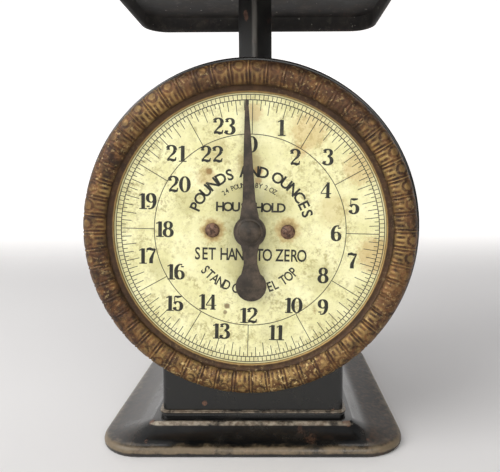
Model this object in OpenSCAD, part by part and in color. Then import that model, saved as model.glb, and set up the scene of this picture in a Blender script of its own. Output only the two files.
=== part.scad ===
// Spring platform scale with a round dial.
// +X is the reader's right, +Y points to the back, +Z is up.
// The origin is the centre of the base, on the surface it stands on.

/* [Base] */
// Width of the base at its rim
base_w = 154.5; // [140:1:190]
// Depth of the base at its rim
base_d = 154.5; // [142:1:190]
// Corner radius of the base rim, in plan
base_r = 22; // [12:1:28]
// Height of the rolled rim
rim_h = 4.5; // [4:0.5:8]
// Height of the ledge round the foot of the column
ledge_z = 11.5; // [9:0.5:16]
// Width of the ledge in front of and behind the column
ledge_front = 6.5; // [3:0.5:8]
// Width of the ledge at the sides of the column
ledge_side = 4.5; // [1.5:0.5:8]
// Height of the deck that the column stands on
deck_z = 13.5; // [12.5:0.5:20]

/* [Column] */
// Width of the column
col_w = 94; // [90:1:112]
// Depth of the column
col_d = 115; // [112:1:124]
// Height of the top of the column
col_top = 178; // [172:1:200]
// Corner radius of the column, in plan
col_r = 3; // [2:0.5:6]
// Thickness of the sheet of the column and the base
sheet = 0.9; // [0.6:0.1:1.2]

/* [Dial] */
// From the top of the column down to the middle of the dial
dial_drop = 68.5; // [60:0.5:76]
// Distance from the front of the column to the face of the dial
dial_out = 12; // [10:0.5:15]
// Radius of the dial plate
dial_r = 66.6; // [60:0.1:70]
// Radius of the opening in the bezel
lip_r = 65.2; // [58:0.1:68]
// Outer radius of the bezel
bezel_r = 80.2; // [76:0.1:84]
// Outer radius of the rolled edge of the case
case_r = 84; // [80:0.1:88]
// Angle that the dial is turned clockwise in its case, in degrees
dial_turn = 1.6; // [-3:0.1:3]
// Half the distance between the two dial screws
screw_x = 18.1; // [15:0.1:24]

/* [Pointer] */
// Length from the spindle to the tip of the pointer
pointer_len = 61.8; // [50:0.1:63]
// Diameter of the hub disc of the pointer
hub_d = 15.4; // [13:0.1:20]
// Diameter of the disc at the tail of the pointer
tail_d = 14.7; // [10:0.1:18]
// Distance from the spindle to the centre of the tail disc
tail_off = 26.1; // [20:0.1:32]
// Angle of the resting pointer, clockwise from upright, in degrees
pointer_rest = -0.9; // [-5:0.1:5]

/* [Platform] */
// Width and depth of the tray
tray_w = 172; // [160:1:200]
// Corner radius of the tray, in plan
tray_r = 17; // [12:1:28]
// Height of the top of the tray at rest
tray_top = 258; // [250:1:290]
// Height of the turned-down edge of the tray
skirt_h = 11; // [7:0.5:14]
// Thickness of the sheet of the tray
tray_t = 1; // [0.8:0.1:1.4]
// Half the width of the folded post
post_half = 10; // [9:0.5:11]
// Thickness of the sheet of the post
post_t = 1.6; // [1.2:0.1:2]

/* [Mechanism] */
// Module of the rack and the pinion
gear_m = 0.5; // [0.45:0.01:0.55]
// Teeth of the pinion
pinion_teeth = 16; // [15:1:17]
// Travel of the tray from rest to full load
travel = 25.4; // [22:0.1:26.5]
// Diameter of the pointer spindle
arbor_d = 3; // [2.5:0.1:3.5]
// Half the distance between the two weighing springs
spring_x = 25; // [25:0.5:26]
// Mean diameter of the weighing springs
spring_d = 13; // [12:0.5:14]
// Diameter of the spring wire
wire_d = 2; // [1.6:0.1:2.2]
// Coils of a weighing spring
spring_coils = 34; // [30:1:36]
// Diameter of the zero-adjusting screw
zero_d = 4; // [3.5:0.5:5]
// Distance that the zero screw can raise or lower the spring bar
zero_lift = 1.2; // [0.6:0.1:1.5]
// Thickness of the plates of the mechanism
plate_t = 1.6; // [1.4:0.1:1.8]

/* [Fits] */
// Radial clearance of shafts in their bearings
run_gap = 0.05; // [0.03:0.01:0.08]
// Clearance between sheet parts that slip over each other
slip_gap = 0.1; // [0.05:0.05:0.2]

/* [Hidden] */
$fn = 48;
cut = 0.5;
black = [0.07, 0.07, 0.07];
steel = [0.52, 0.52, 0.5];
dark_iron = [0.22, 0.17, 0.14];
brass = [0.62, 0.45, 0.2];
cream = [0.9, 0.86, 0.68];

// column stations
wall_x = col_w / 2 - sheet;
front_y = -col_d / 2;
back_y = col_d / 2;
cap_skirt = 8;
wall_top = col_top - 4;
dial_z = col_top - dial_drop;
foot_out = 1.6;
foot_t = 1;

// dial stations, front is -Y
dial_y = front_y - dial_out;
dial_t = 0.6;
case_floor_y = front_y - sheet;
case_wall_r = bezel_r - 0.7;
case_front_y = dial_y + 2.6;
bead_r = 1.3;
pointer_y = dial_y - 3.7;
pointer_t = 0.8;

// gear sizes
pitch_r = gear_m * pinion_teeth / 2;
rack_x = pitch_r;
tooth_pitch = PI * gear_m;
addendum = 0.8 * gear_m;
dedendum = 1.15 * gear_m;
backlash = 0.07;
pressure = 20;

// mechanism stations
bed_t = 1.6;
bed_z = deck_z + bed_t;
post_ridge_y = -post_half / 2;
post_back_y = post_half / 2;
carriage_t = 2;
carriage_y = post_back_y;
flange_x = post_half + 5;
carriage_low = bed_z + travel + 3.5;
yoke_h = 11;
carriage_top = col_top - 20;
spring_y = carriage_y + carriage_t / 2;
upright_x = spring_x + 12.2;
upright_front = -16;
upright_back = 50;
upright_top = col_top - 10;
arbor_plate_y = -19;
arbor_rear_y = arbor_plate_y + plate_t + 1.5;
pinion_y = arbor_plate_y - 1.5;
pinion_w = 4;
rack_t = 3;
rack_low = dial_z - 5;
rack_high = carriage_top - 3;
rack_depth = 4;
bar_z = col_top - 22;
bar_t = 3;
bar_y = spring_y + 6;
bar_w = 10;
bridge_z = bar_z + bar_t + 5;
bridge_t = 3;
zero_y = bar_y + bar_w / 2;
hook_r = spring_d / 2 - 1.5;
coil_h = wire_d * (spring_coils + 1);
peg_r = 2;
hook_top_z = bar_z + bar_t / 2 + peg_r + 0.02 - hook_r + wire_d / 2;
yoke_hole_r = wire_d / 2 + 2;
yoke_hole_z = carriage_low + yoke_h - yoke_hole_r - 1.2;
hook_in = hook_r - wire_d / 2;
hook_low_z = yoke_hole_z + yoke_hole_r + sqrt(pow(hook_in, 2) - pow(carriage_t / 2, 2)) - 0.03;
coil_z = (hook_top_z + hook_low_z - coil_h) / 2;

// check links: the moving pins rise and fall by the travel, the fixed pins
// stand at half travel
link_pin_d = 3;
pivot_y = 46;
// the links swing furthest in at half travel, by this much past the pins
link_swing_in = pow(travel / 2, 2) / 60;
link_pin_y = carriage_y + carriage_t + 5.4 + link_swing_in;
link_reach = pivot_y - link_pin_y;
upper_pin_z = carriage_top - 20;
lower_pin_z = carriage_low + 20;
link_x = 11;
lug_x = flange_x - plate_t;
link_drop = travel / 2;
link_long = sqrt(pow(link_reach, 2) + pow(link_drop, 2));
link_angle = atan(link_drop / link_reach);

// ---------- helpers ----------

module x_rod(x0, x1, y, z, r) {
    translate([x0, y, z])
        rotate([0, 90, 0])
            cylinder(r = r, h = x1 - x0);
}

module y_rod(x, y0, y1, z, r) {
    translate([x, y1, z])
        rotate([90, 0, 0])
            cylinder(r = r, h = y1 - y0);
}

module z_rod(x, y, z0, z1, r) {
    translate([x, y, z0])
        cylinder(r = r, h = z1 - z0);
}

// a plate drawn in X and Z, from y0 to y1
module xz_plate(y0, y1) {
    translate([0, y1, 0])
        rotate([90, 0, 0])
            linear_extrude(y1 - y0)
                children();
}

// a plate drawn in Y and Z, from x0 to x1
module yz_plate(x0, x1) {
    translate([x0, 0, 0])
        rotate([90, 0, 90])
            linear_extrude(x1 - x0)
                children();
}

module span(x0, x1, y0, y1, z0, z1) {
    translate([x0, y0, z0])
        cube([x1 - x0, y1 - y0, z1 - z0]);
}

module both_sides() {
    children();
    mirror([1, 0, 0])
        children();
}

// exact rounded rectangle
module round_rect(w, d, r) {
    square([w - 2 * r, d], center = true);
    square([w, d - 2 * r], center = true);
    for (x = [-1, 1], y = [-1, 1])
        translate([x * (w / 2 - r), y * (d / 2 - r)])
            circle(r = r);
}

module slab(w, d, r, z0, z1) {
    translate([0, 0, z0])
        linear_extrude(z1 - z0)
            round_rect(w, d, r);
}

module slot_2d(length, width) {
    for (s = [-1, 1])
        translate([s * (length - width) / 2, 0])
            circle(r = width / 2);
    square([length - width, width], center = true);
}

// round-head screw or rivet along +Y, its head in front of face_y
module y_head(x, z, face_y, head_r, head_h, shank_r, shank_len) {
    translate([x, face_y, z])
        rotate([90, 0, 0])
            rotate_extrude()
                dome_2d(head_r, head_h);
    y_rod(x, face_y, face_y + shank_len, z, shank_r);
}

// half of a low dome, for a rotate_extrude
module dome_2d(r, h) {
    ball_r = (r * r + h * h) / (2 * h);
    intersection() {
        translate([0, h - ball_r])
            circle(r = ball_r, $fn = 96);
        square([r, h]);
    }
}

// ---------- base ----------

plinth_w = col_w + 2 * ledge_side;
plinth_d = col_d + 2 * ledge_front;
plinth_r = col_r + 2;
deck_w = col_w + 2.4;
deck_d = col_d + 2.4;

// share of the way in from the rim, and of the way up to the ledge
flare_steps = [[0, 0], [0.34, 0.2], [0.7, 0.52], [1, 1]];

module flare_slice(i, inset, drop) {
    s = flare_steps[i];
    z = rim_h + (ledge_z - rim_h) * s[1] - drop;
    w = base_w + (plinth_w - base_w) * s[0] - 2 * inset;
    d = base_d + (plinth_d - base_d) * s[0] - 2 * inset;
    r = base_r + (plinth_r - base_r) * s[0] - inset;
    translate([0, 0, z - 0.1])
        linear_extrude(0.1)
            round_rect(w, d, r);
}

module flare(inset, drop) {
    for (i = [0:2])
        hull() {
            flare_slice(i, inset, drop);
            flare_slice(i + 1, inset, drop);
        }
}

module base_shell() {
    inner_r = base_r - 2.4;
    color(black)
        difference() {
            union() {
                slab(base_w, base_d, base_r, 0, rim_h);
                flare(0, 0);
                slab(deck_w, deck_d, col_r + 1.2, ledge_z - cut, deck_z);
            }
            slab(base_w - 4.8, base_d - 4.8, inner_r, -cut, rim_h - sheet);
            flare(1.6, sheet);
            slab(deck_w - 2 * sheet, deck_d - 2 * sheet, col_r, ledge_z - 2 * sheet, deck_z - sheet);
            slab(col_w - 24, col_d - 24, col_r, 0, deck_z + cut);
            bed_fixings(bed_rivet_r + 0.02);
        }
}

bed_rivet_r = 1.6;

// clear of the feet of the uprights
bed_rivet_x = upright_x - 4;

module bed_fixings(r) {
    for (x = [-1, 1], y = [-1, 1])
        z_rod(x * bed_rivet_x, y * (col_d / 2 - 7), deck_z - 3, bed_z + 1, r);
}

module bed_plate() {
    flange_h = 12;
    w = col_w - 2 * sheet - 2 * slip_gap;
    d = col_d - 2 * sheet - 2 * slip_gap - 2;
    color(black)
        difference() {
            union() {
                slab(w, d, 1.5, deck_z, bed_z);
                for (s = [-1, 1])
                    span(s * w / 2 - (s + 1) / 2 * bed_t, s * w / 2 + (1 - s) / 2 * bed_t,
                         -d / 2 + 8, d / 2 - 8, deck_z, deck_z + flange_h);
            }
            bed_fixings(bed_rivet_r + 0.02);
            column_screw_shanks(0.02);
            foot_screw_shanks(0.02);
        }
}

module bed_rivets() {
    color(black)
        for (x = [-1, 1], y = [-1, 1])
            translate([x * bed_rivet_x, y * (col_d / 2 - 7), 0]) {
                z_rod(0, 0, deck_z - sheet - 0.8, bed_z, bed_rivet_r);
                z_rod(0, 0, bed_z, bed_z + 1, 2.6);
                z_rod(0, 0, deck_z - sheet - 0.8, deck_z - sheet, 2.6);
            }
}

// ---------- column ----------

module column_outline(inset) {
    round_rect(col_w - 2 * inset, col_d - 2 * inset, col_r - inset);
}

module column_front() {
    flange_in = 9;
    color(black)
        difference() {
            union() {
                translate([0, 0, deck_z])
                    linear_extrude(wall_top - deck_z)
                        column_outline(0);
                slab(col_w + 2 * foot_out, col_d + 2 * foot_out, col_r + foot_out, deck_z, deck_z + foot_t);
            }
            translate([0, 0, deck_z - cut])
                linear_extrude(wall_top - deck_z + 2 * cut)
                    column_outline(sheet);
            span(-wall_x + flange_in, wall_x - flange_in, 0, back_y + 5, deck_z + foot_t + 6, wall_top + cut);
            y_rod(0, front_y - cut, front_y + 2, dial_z, front_bush_r + 0.02);
            case_rivet_shanks(0.02);
            column_screw_shanks(0.02);
            back_screw_shanks(0.02);
        }
}

module back_cover() {
    low = deck_z + foot_t + 1;
    high = wall_top - 2;
    color(black)
        difference() {
            union() {
                xz_plate(back_y, back_y + sheet)
                    translate([0, (low + high) / 2])
                        round_rect(col_w - 6, high - low, 4);
                xz_plate(back_y + sheet, back_y + sheet + 0.8)
                    translate([0, (low + high) / 2])
                        difference() {
                            round_rect(col_w - 28, high - low - 40, 6);
                            round_rect(col_w - 31, high - low - 43, 4.5);
                        }
            }
            back_screw_shanks(0.02);
        }
}

back_screw_r = 1.5;

module back_screw_shanks(gap) {
    for (x = [-1, 1], z = [deck_z + 14, wall_top - 22])
        y_rod(x * (wall_x - 5), back_y - 5, back_y + 3, z, back_screw_r + gap);
}

module back_screws() {
    color(steel)
        for (x = [-1, 1], z = [deck_z + 14, wall_top - 22])
            translate([x * (wall_x - 5), back_y + sheet, z])
                rotate([0, 0, 180])
                    slotted_head(3.2, 1.6, back_screw_r, 4);
}

// slotted round head standing out along -Y, shank along +Y
module slotted_head(head_r, head_h, shank_r, shank_len) {
    difference() {
        rotate([90, 0, 0])
            rotate_extrude()
                dome_2d(head_r, head_h);
        span(-head_r, head_r, -head_h - cut, -head_h * 0.45, -0.45, 0.45);
    }
    y_rod(0, 0, shank_len, 0, shank_r);
}

column_screw_z = deck_z + 7;

module column_screw_shanks(gap) {
    for (s = [-1, 1], y = [-1, 1])
        x_rod(s * col_w / 2 - 4, s * col_w / 2 + 4, y * (col_d / 2 - 20), column_screw_z, 1.5 + gap);
}

module column_screws() {
    color(steel)
        both_sides()
            for (y = [-1, 1])
                translate([col_w / 2, y * (col_d / 2 - 20), column_screw_z])
                    rotate([0, 0, 90])
                        slotted_head(2.9, 1.4, 1.5, 3.6);
}

module cap() {
    in = sheet + slip_gap;
    edge_r = col_top - wall_top;
    color(black)
        difference() {
            union() {
                hull()
                    for (x = [-1, 1], y = [-1, 1])
                        translate([x * (col_w / 2 - edge_r), y * (col_d / 2 - edge_r), wall_top])
                            sphere(r = edge_r, $fn = 32);
                slab(col_w - 2 * in, col_d - 2 * in, col_r - 0.9, wall_top - cap_skirt, wall_top + 1);
            }
            difference() {
                slab(col_w + 5, col_d + 5, 2, wall_top - edge_r - cut, wall_top);
                slab(col_w - 2 * in, col_d - 2 * in, col_r - 0.9, wall_top - cap_skirt, wall_top + 1);
            }
            slab(col_w - 4.2, col_d - 4.2, col_r - 1.9, wall_top - cap_skirt - 5, wall_top + 0.5);
            slab(col_w - 6, col_d - 6, col_r - 1.9, wall_top, col_top - sheet);
            slab(2 * post_half + 7, post_half + 8, 3, wall_top - 5, col_top + cut);
            z_rod(0, zero_y, wall_top - 5, col_top + cut, zero_d / 2 + 1);
        }
}

// ---------- dial ----------

case_rivet_r = 1.5;
front_bush_r = 4.5;

module case_rivet_shanks(gap) {
    for (x = [-1, 1], z = [-1, 1])
        y_rod(x * (wall_x - 10), front_y - 3, front_y + 3, dial_z + z * 30, case_rivet_r + gap);
}

module case_rivets() {
    color(steel)
        for (x = [-1, 1], z = [-1, 1])
            translate([x * (wall_x - 10), 0, dial_z + z * 30]) {
                y_rod(0, case_floor_y - 1, case_floor_y, 0, 2.6);
                y_rod(0, case_floor_y, front_y + sheet, 0, case_rivet_r);
                y_rod(0, front_y + sheet, front_y + sheet + 0.8, 0, 2.4);
            }
}

// profiles round the spindle are drawn as [radius, distance in front of front_y]
module dial_ring() {
    translate([0, front_y, dial_z])
        rotate([90, 0, 0])
            rotate_extrude($fn = 128)
                children();
}

module dial_case() {
    wall_out = front_y - case_front_y;
    color(black)
        difference() {
            dial_ring()
                union() {
                    square([case_wall_r, sheet]);
                    translate([case_wall_r - sheet, 0])
                        square([sheet, wall_out]);
                    square_between(case_wall_r - sheet, case_r - bead_r, 0, sheet);
                    translate([case_r - bead_r, bead_r])
                        circle(r = bead_r);
                }
            y_rod(0, case_floor_y - cut, front_y + cut, dial_z, front_bush_r + 0.02);
            case_rivet_shanks(0.02);
            pillar_places()
                y_rod(0, case_floor_y - cut, front_y + cut, 0, pillar_neck_r + 0.02);
        }
}

module square_between(r0, r1, y0, y1) {
    translate([r0, y0])
        square([r1 - r0, y1 - y0]);
}

pillar_neck_r = 1.6;
pillar_r = 3;

module pillar_places() {
    for (s = [-1, 1])
        translate([s * screw_x * cos(dial_turn), 0, dial_z - s * screw_x * sin(dial_turn)])
            children();
}

module dial_pillars() {
    color(steel)
        pillar_places()
            difference() {
                union() {
                    y_rod(0, dial_y + dial_t, case_floor_y, 0, pillar_r);
                    y_rod(0, case_floor_y, front_y, 0, pillar_neck_r);
                }
                y_rod(0, dial_y, dial_y + dial_t + 5, 0, dial_screw_r + 0.02);
            }
}

dial_screw_r = 1.2;

module dial_plate() {
    color(cream)
        difference() {
            y_rod(0, dial_y, dial_y + dial_t, dial_z, dial_r, $fn = 128);
            y_rod(0, dial_y - cut, dial_y + dial_t + cut, dial_z, 4);
            pillar_places()
                y_rod(0, dial_y - cut, dial_y + dial_t + cut, 0, dial_screw_r + 0.05);
        }
}

module dial_screws() {
    slot_angles = [38, -24];
    color(dark_iron)
        for (i = [0, 1])
            translate([(2 * i - 1) * screw_x * cos(dial_turn), dial_y,
                       dial_z - (2 * i - 1) * screw_x * sin(dial_turn)])
                rotate([0, slot_angles[i], 0])
                    slotted_head(3.5, 1.7, dial_screw_r, 4);
}

// outer side of the bezel, as [radius, distance in front of the dial face]
bezel_rim = bezel_r - 0.3;
groove_r = lip_r + 2.4;
crest_r = (bezel_rim + groove_r) / 2;
crest_h = 6;
skirt_back = -9;

function arc_point(a) = [crest_r + (bezel_rim - crest_r + 0.3) * cos(a), -1.2 + (crest_h + 1.2) * sin(a)];

bezel_outer = concat(
    [[bezel_r, skirt_back]],
    [for (a = [0:12:156]) arc_point(a)],
    [[groove_r, 1.1], [groove_r - 0.9, 1.1], [lip_r + 0.5, 0.9], [lip_r, 0.5], [lip_r, 0.05]]);

bezel_inner = concat(
    [[lip_r + 1, 0.05], [groove_r - 0.4, 0.4], [groove_r + 0.6, 0.5]],
    [for (a = [150:-12:6]) arc_inner(a)],
    [[bezel_r - 0.6, skirt_back]]);

function arc_inner(a) = [crest_r + (bezel_rim - crest_r - 0.35) * cos(a), -1.2 + (crest_h + 0.6) * sin(a)];

module bezel() {
    color(brass)
        translate([0, dial_y, dial_z])
            rotate([90, 0, 0])
                rotate_extrude($fn = 128)
                    polygon(concat(bezel_outer, bezel_inner));
}

// ---------- spindle ----------

module front_bush() {
    color(brass)
        difference() {
            union() {
                y_rod(0, case_floor_y, front_y + sheet, dial_z, front_bush_r);
                y_rod(0, case_floor_y - 1.5, case_floor_y, dial_z, front_bush_r + 1.5);
                y_rod(0, front_y + sheet, front_y + sheet + 2, dial_z, front_bush_r + 1);
            }
            y_rod(0, case_floor_y - 3, front_y + 5, dial_z, arbor_d / 2 + run_gap);
        }
}

rear_bush_r = 3.4;

module rear_bush() {
    color(brass)
        difference() {
            union() {
                y_rod(0, arbor_plate_y, arbor_plate_y + plate_t, dial_z, rear_bush_r);
                y_rod(0, arbor_plate_y + plate_t, arbor_rear_y, dial_z, rear_bush_r + 0.8);
                y_rod(0, pinion_y + 0.15, arbor_plate_y, dial_z, rear_bush_r + 0.8);
            }
            y_rod(0, pinion_y - 1, arbor_rear_y + 1, dial_z, arbor_d / 2 + run_gap);
        }
}

module arbor() {
    color(steel)
        y_rod(0, pointer_y - 1.2, arbor_rear_y + 0.6, dial_z, arbor_d / 2);
}

module on_arbor(y0, y1, r) {
    difference() {
        y_rod(0, y0, y1, dial_z, r);
        y_rod(0, y0 - cut, y1 + cut, dial_z, arbor_d / 2);
    }
}

module arbor_collar() {
    y0 = front_y + sheet + 2.2;
    color(brass)
        on_arbor(y0, y0 + 3, 3.6);
}

base_circle = pitch_r * cos(pressure);
tip_r = pitch_r + addendum;
root_r = pitch_r - dedendum;

// involute polar angle, in degrees, at radius r
function involute_at(r) = let (c = acos(min(1, base_circle / r))) tan(c) * 180 / PI - c;

half_tooth = 90 / pinion_teeth - (backlash / 2) / pitch_r * 180 / PI + involute_at(pitch_r);

function polar(r, a) = [r * cos(a), r * sin(a)];

flank_radii = [base_circle, base_circle + (tip_r - base_circle) * 0.35,
               base_circle + (tip_r - base_circle) * 0.7, tip_r];

function tooth_points(a) = concat(
    [polar(root_r, a - half_tooth - 1)],
    [for (r = flank_radii) polar(r, a - half_tooth + involute_at(r))],
    [for (i = [3:-1:0]) polar(flank_radii[i], a + half_tooth - involute_at(flank_radii[i]))],
    [polar(root_r, a + half_tooth + 1)]);

module pinion_2d() {
    step = 360 / pinion_teeth;
    polygon([for (i = [0:pinion_teeth - 1]) each tooth_points((i + 0.5) * step)]);
}

module pinion() {
    color(brass)
        translate([0, 0, dial_z])
            difference() {
                xz_plate(pinion_y - pinion_w, pinion_y)
                    pinion_2d();
                y_rod(0, pinion_y - pinion_w - cut, pinion_y + cut, 0, arbor_d / 2);
            }
}

// ---------- pointer ----------

module on_pointer() {
    translate([0, 0, dial_z])
        rotate([0, pointer_rest, 0])
            children();
}

module blade_2d() {
    root_z = hub_d / 2 - 1.6;
    polygon([[-0.7, pointer_len - 0.6], [0, pointer_len], [0.7, pointer_len - 0.6],
             [1.55, 46.2], [2.2, 31.5], [3, 15], [4.6, root_z], [-4.6, root_z],
             [-3, 15], [-2.2, 31.5], [-1.55, 46.2]]);
}

module waist_2d() {
    top_z = 1.4 - hub_d / 2;
    low_z = tail_d / 2 - 1.6 - tail_off;
    polygon([[-4.4, top_z], [4.4, top_z], [3.3, top_z - 5], [3.2, low_z + 5],
             [4.6, low_z], [-4.6, low_z], [-3.2, low_z + 5], [-3.3, top_z - 5]]);
}

module pointer() {
    color(dark_iron)
        difference() {
            on_pointer()
                union() {
                    xz_plate(pointer_y, pointer_y + pointer_t)
                        blade_2d();
                    xz_plate(pointer_y, pointer_y + pointer_t)
                        waist_2d();
                    y_rod(0, pointer_y, pointer_y + pointer_t, 0, hub_d / 2);
                    y_rod(0, pointer_y, pointer_y + pointer_t, -tail_off, tail_d / 2);
                }
            y_rod(0, pointer_y - cut, pointer_y + 2, dial_z, arbor_d / 2);
        }
}

module pointer_bush() {
    color(brass)
        on_arbor(pointer_y + pointer_t, dial_y - 0.6, 3.2);
}

module hub_cap() {
    cap_h_front = 3.2;
    color(dark_iron)
        difference() {
            translate([0, pointer_y, dial_z])
                rotate([90, 0, 0])
                    rotate_extrude($fn = 64)
                        dome_2d(hub_d / 2 - 1.1, cap_h_front);
            y_rod(0, pointer_y - 1.25, pointer_y + cut, dial_z, arbor_d / 2);
        }
}

// ---------- mechanism frame ----------

foot_w = 5.2;
foot_screw_x = upright_x + plate_t + 2.8;

module foot_screw_shanks(gap) {
    for (s = [-1, 1], y = [upright_front + 8, upright_back - 8])
        z_rod(s * foot_screw_x, y, deck_z - 2, bed_z + 3, 1.3 + gap);
}

module upright_screws() {
    color(steel)
        both_sides()
            for (y = [upright_front + 8, upright_back - 8])
                translate([foot_screw_x, y, 0]) {
                    z_rod(0, 0, deck_z, bed_z + plate_t, 1.3);
                    z_rod(0, 0, bed_z + plate_t, bed_z + plate_t + 1.3, 2.2);
                }
}

module right_upright() {
    color(steel)
        difference() {
            union() {
                span(upright_x, upright_x + plate_t, upright_front, upright_back, bed_z, upright_top);
                span(upright_x, upright_x + plate_t + foot_w, upright_front, upright_back,
                     bed_z, bed_z + plate_t);
            }
            for (z = pivot_heights)
                x_rod(upright_x - cut, upright_x + plate_t + cut, pivot_y, z, link_pin_d / 2 + 0.01);
            span(upright_x - cut, upright_x + plate_t + cut, bar_y - 0.2, bar_y + bar_w + 0.2,
                 bar_z - zero_lift - 0.2, bar_z + bar_t + zero_lift + 0.2);
            span(upright_x - cut, upright_x + plate_t + cut, bar_y + 1, bar_y + bar_w - 1,
                 bridge_z, bridge_z + bridge_t);
            arbor_screw_shanks(0.02);
            foot_screw_shanks(0.02);
            span(upright_x - cut, upright_x + plate_t + cut, 30, upright_back + cut,
                 upper_pivot_z + 14, upright_top + cut);
        }
}

module left_upright() {
    mirror([1, 0, 0])
        right_upright();
}

upper_pivot_z = upper_pin_z - link_drop;
lower_pivot_z = lower_pin_z - link_drop;
pivot_heights = [upper_pivot_z, lower_pivot_z];

module bridge() {
    color(steel)
        difference() {
            union() {
                span(-upright_x, upright_x, bar_y, bar_y + bar_w, bridge_z, bridge_z + bridge_t);
                span(-upright_x - plate_t - 0.8, upright_x + plate_t + 0.8, bar_y + 1, bar_y + bar_w - 1,
                     bridge_z, bridge_z + bridge_t);
            }
            z_rod(0, zero_y, bridge_z - cut, bridge_z + bridge_t + cut, zero_d / 2 + run_gap);
        }
}

arbor_flange = 8;
arbor_half_h = 9;

module arbor_screw_shanks(gap) {
    for (s = [-1, 1], z = [-1, 1])
        x_rod(s * upright_x - 4, s * upright_x + 4, arbor_screw_y, dial_z + z * 5, 1.2 + gap);
}

arbor_screw_y = upright_front + 4;

module arbor_plate() {
    color(steel)
        difference() {
            union() {
                xz_plate(arbor_plate_y, arbor_plate_y + plate_t)
                    translate([0, dial_z])
                        square([2 * upright_x, 2 * arbor_half_h], center = true);
                both_sides()
                    span(upright_x - plate_t, upright_x, arbor_plate_y, arbor_screw_y + 4,
                         dial_z - arbor_half_h, dial_z + arbor_half_h);
            }
            y_rod(0, arbor_plate_y - cut, arbor_plate_y + plate_t + cut, dial_z, rear_bush_r + 0.01);
            arbor_screw_shanks(0.02);
        }
}

module arbor_plate_screws() {
    color(steel)
        both_sides()
            for (z = [-1, 1])
                translate([upright_x + plate_t, arbor_screw_y, dial_z + z * 5])
                    rotate([0, 0, 90])
                        slotted_head(2.3, 1.1, 1.2, 2 * plate_t);
}

module pivot_pins() {
    color(steel)
        for (z = pivot_heights) {
            x_rod(-upright_x - plate_t, upright_x + plate_t, pivot_y, z, link_pin_d / 2);
            both_sides()
                x_rod(upright_x + plate_t, upright_x + plate_t + 0.8, pivot_y, z, link_pin_d / 2 + 0.8);
        }
}

// ---------- platform ----------

module tray() {
    bead = 1.2;
    color(black)
        difference() {
            union() {
                slab(tray_w - 2.4, tray_w - 2.4, tray_r - 1.2, tray_top - skirt_h, tray_top - 0.6);
                slab(tray_w - 5, tray_w - 5, tray_r - 2.5, tray_top - 1.2, tray_top);
                slab(tray_w, tray_w, tray_r, tray_top - skirt_h - 0.5, tray_top - skirt_h + bead);
            }
            slab(tray_w - 2.4 - 2 * tray_t, tray_w - 2.4 - 2 * tray_t, tray_r - 1.2 - tray_t,
                 tray_top - skirt_h - 2, tray_top - 0.6 - tray_t);
            slab(tray_w - 5 - 2 * tray_t, tray_w - 5 - 2 * tray_t, tray_r - 2.5 - tray_t,
                 tray_top - 3, tray_top - tray_t);
            spider_rivets(rivet_r + 0.02, tray_top - 10, tray_top + cut);
        }
}

spider_half = 32;
spider_t = 1.6;
spider_z = tray_top - tray_t - spider_t;
rivet_r = 1.8;
tab_low = tray_top - 14;

module spider_rivets(r, z0, z1) {
    for (x = [-1, 1], y = [-1, 1])
        z_rod(x * (spider_half - 6), y * (spider_half - 6), z0, z1, r);
}

module tray_spider() {
    color(black)
        difference() {
            union() {
                for (a = [45, -45])
                    rotate(a)
                        translate([0, 0, spider_z])
                            linear_extrude(spider_t)
                                slot_2d(2.9 * spider_half, 15);
                span(-flange_x, flange_x, carriage_y - 12, carriage_y + spider_t, spider_z, spider_z + spider_t);
                span(-flange_x, flange_x, carriage_y, carriage_y + spider_t, tab_low, spider_z);
            }
            spider_rivets(rivet_r + 0.02, spider_z - 5, spider_z + 5);
            upper_rivet_shanks(0.02);
        }
}

module tray_rivets() {
    color(black) {
        spider_rivets(rivet_r, spider_z, tray_top);
        spider_rivets(3, spider_z - 1, spider_z);
    }
}

module post_2d(flanged) {
    t = post_t * sqrt(2);
    polygon([[-post_half, post_back_y], [0, post_ridge_y], [post_half, post_back_y],
             [post_half - t, post_back_y], [0, post_ridge_y + t], [-post_half + t, post_back_y]]);
    if (flanged)
        both_sides_2d()
            translate([post_half - t, post_back_y - post_t])
                square([flange_x - post_half + t, post_t]);
}

module both_sides_2d() {
    children();
    mirror([1, 0])
        children();
}

module post() {
    color(black)
        difference() {
            union() {
                translate([0, 0, carriage_low])
                    linear_extrude(carriage_top - carriage_low)
                        post_2d(true);
                translate([0, 0, carriage_low])
                    linear_extrude(spider_z - carriage_low)
                        post_2d(false);
                translate([0, 0, tab_low])
                    linear_extrude(spider_z - tab_low)
                        post_2d(true);
            }
            lower_rivet_shanks(0.02);
            upper_rivet_shanks(0.02);
            rack_arm_rivet_shanks(0.02);
        }
}

post_rivet_r = 1.2;
post_rivet_x = post_half + 2.6;
lower_rivet_heights = [carriage_low + 8, carriage_low + 46, carriage_top - 28];

module lower_rivet_shanks(gap) {
    for (s = [-1, 1], z = lower_rivet_heights)
        y_rod(s * post_rivet_x, post_back_y - post_t - 1, carriage_y + carriage_t + 1, z, post_rivet_r + gap);
}

module upper_rivet_shanks(gap) {
    for (s = [-1, 1], z = [tab_low + 3, tab_low + 8])
        y_rod(s * post_rivet_x, post_back_y - post_t - 1, carriage_y + spider_t + 1, z, post_rivet_r + gap);
}

module through_rivet(x, y0, y1, z) {
    y_rod(x, y0, y1, z, post_rivet_r);
    y_rod(x, y0 - 0.7, y0, z, post_rivet_r + 0.6);
    y_rod(x, y1, y1 + 0.7, z, post_rivet_r + 0.6);
}

module post_rivets() {
    color(steel)
        for (s = [-1, 1]) {
            for (z = lower_rivet_heights)
                through_rivet(s * post_rivet_x, post_back_y - post_t, carriage_y + carriage_t, z);
            for (z = [tab_low + 3, tab_low + 8])
                through_rivet(s * post_rivet_x, post_back_y - post_t, carriage_y + spider_t, z);
        }
    color(steel)
        through_rivet(post_rivet_x, post_back_y - post_t - plate_t, carriage_y + carriage_t, arm_mid);
}

yoke_half = spring_x + 6;

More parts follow.
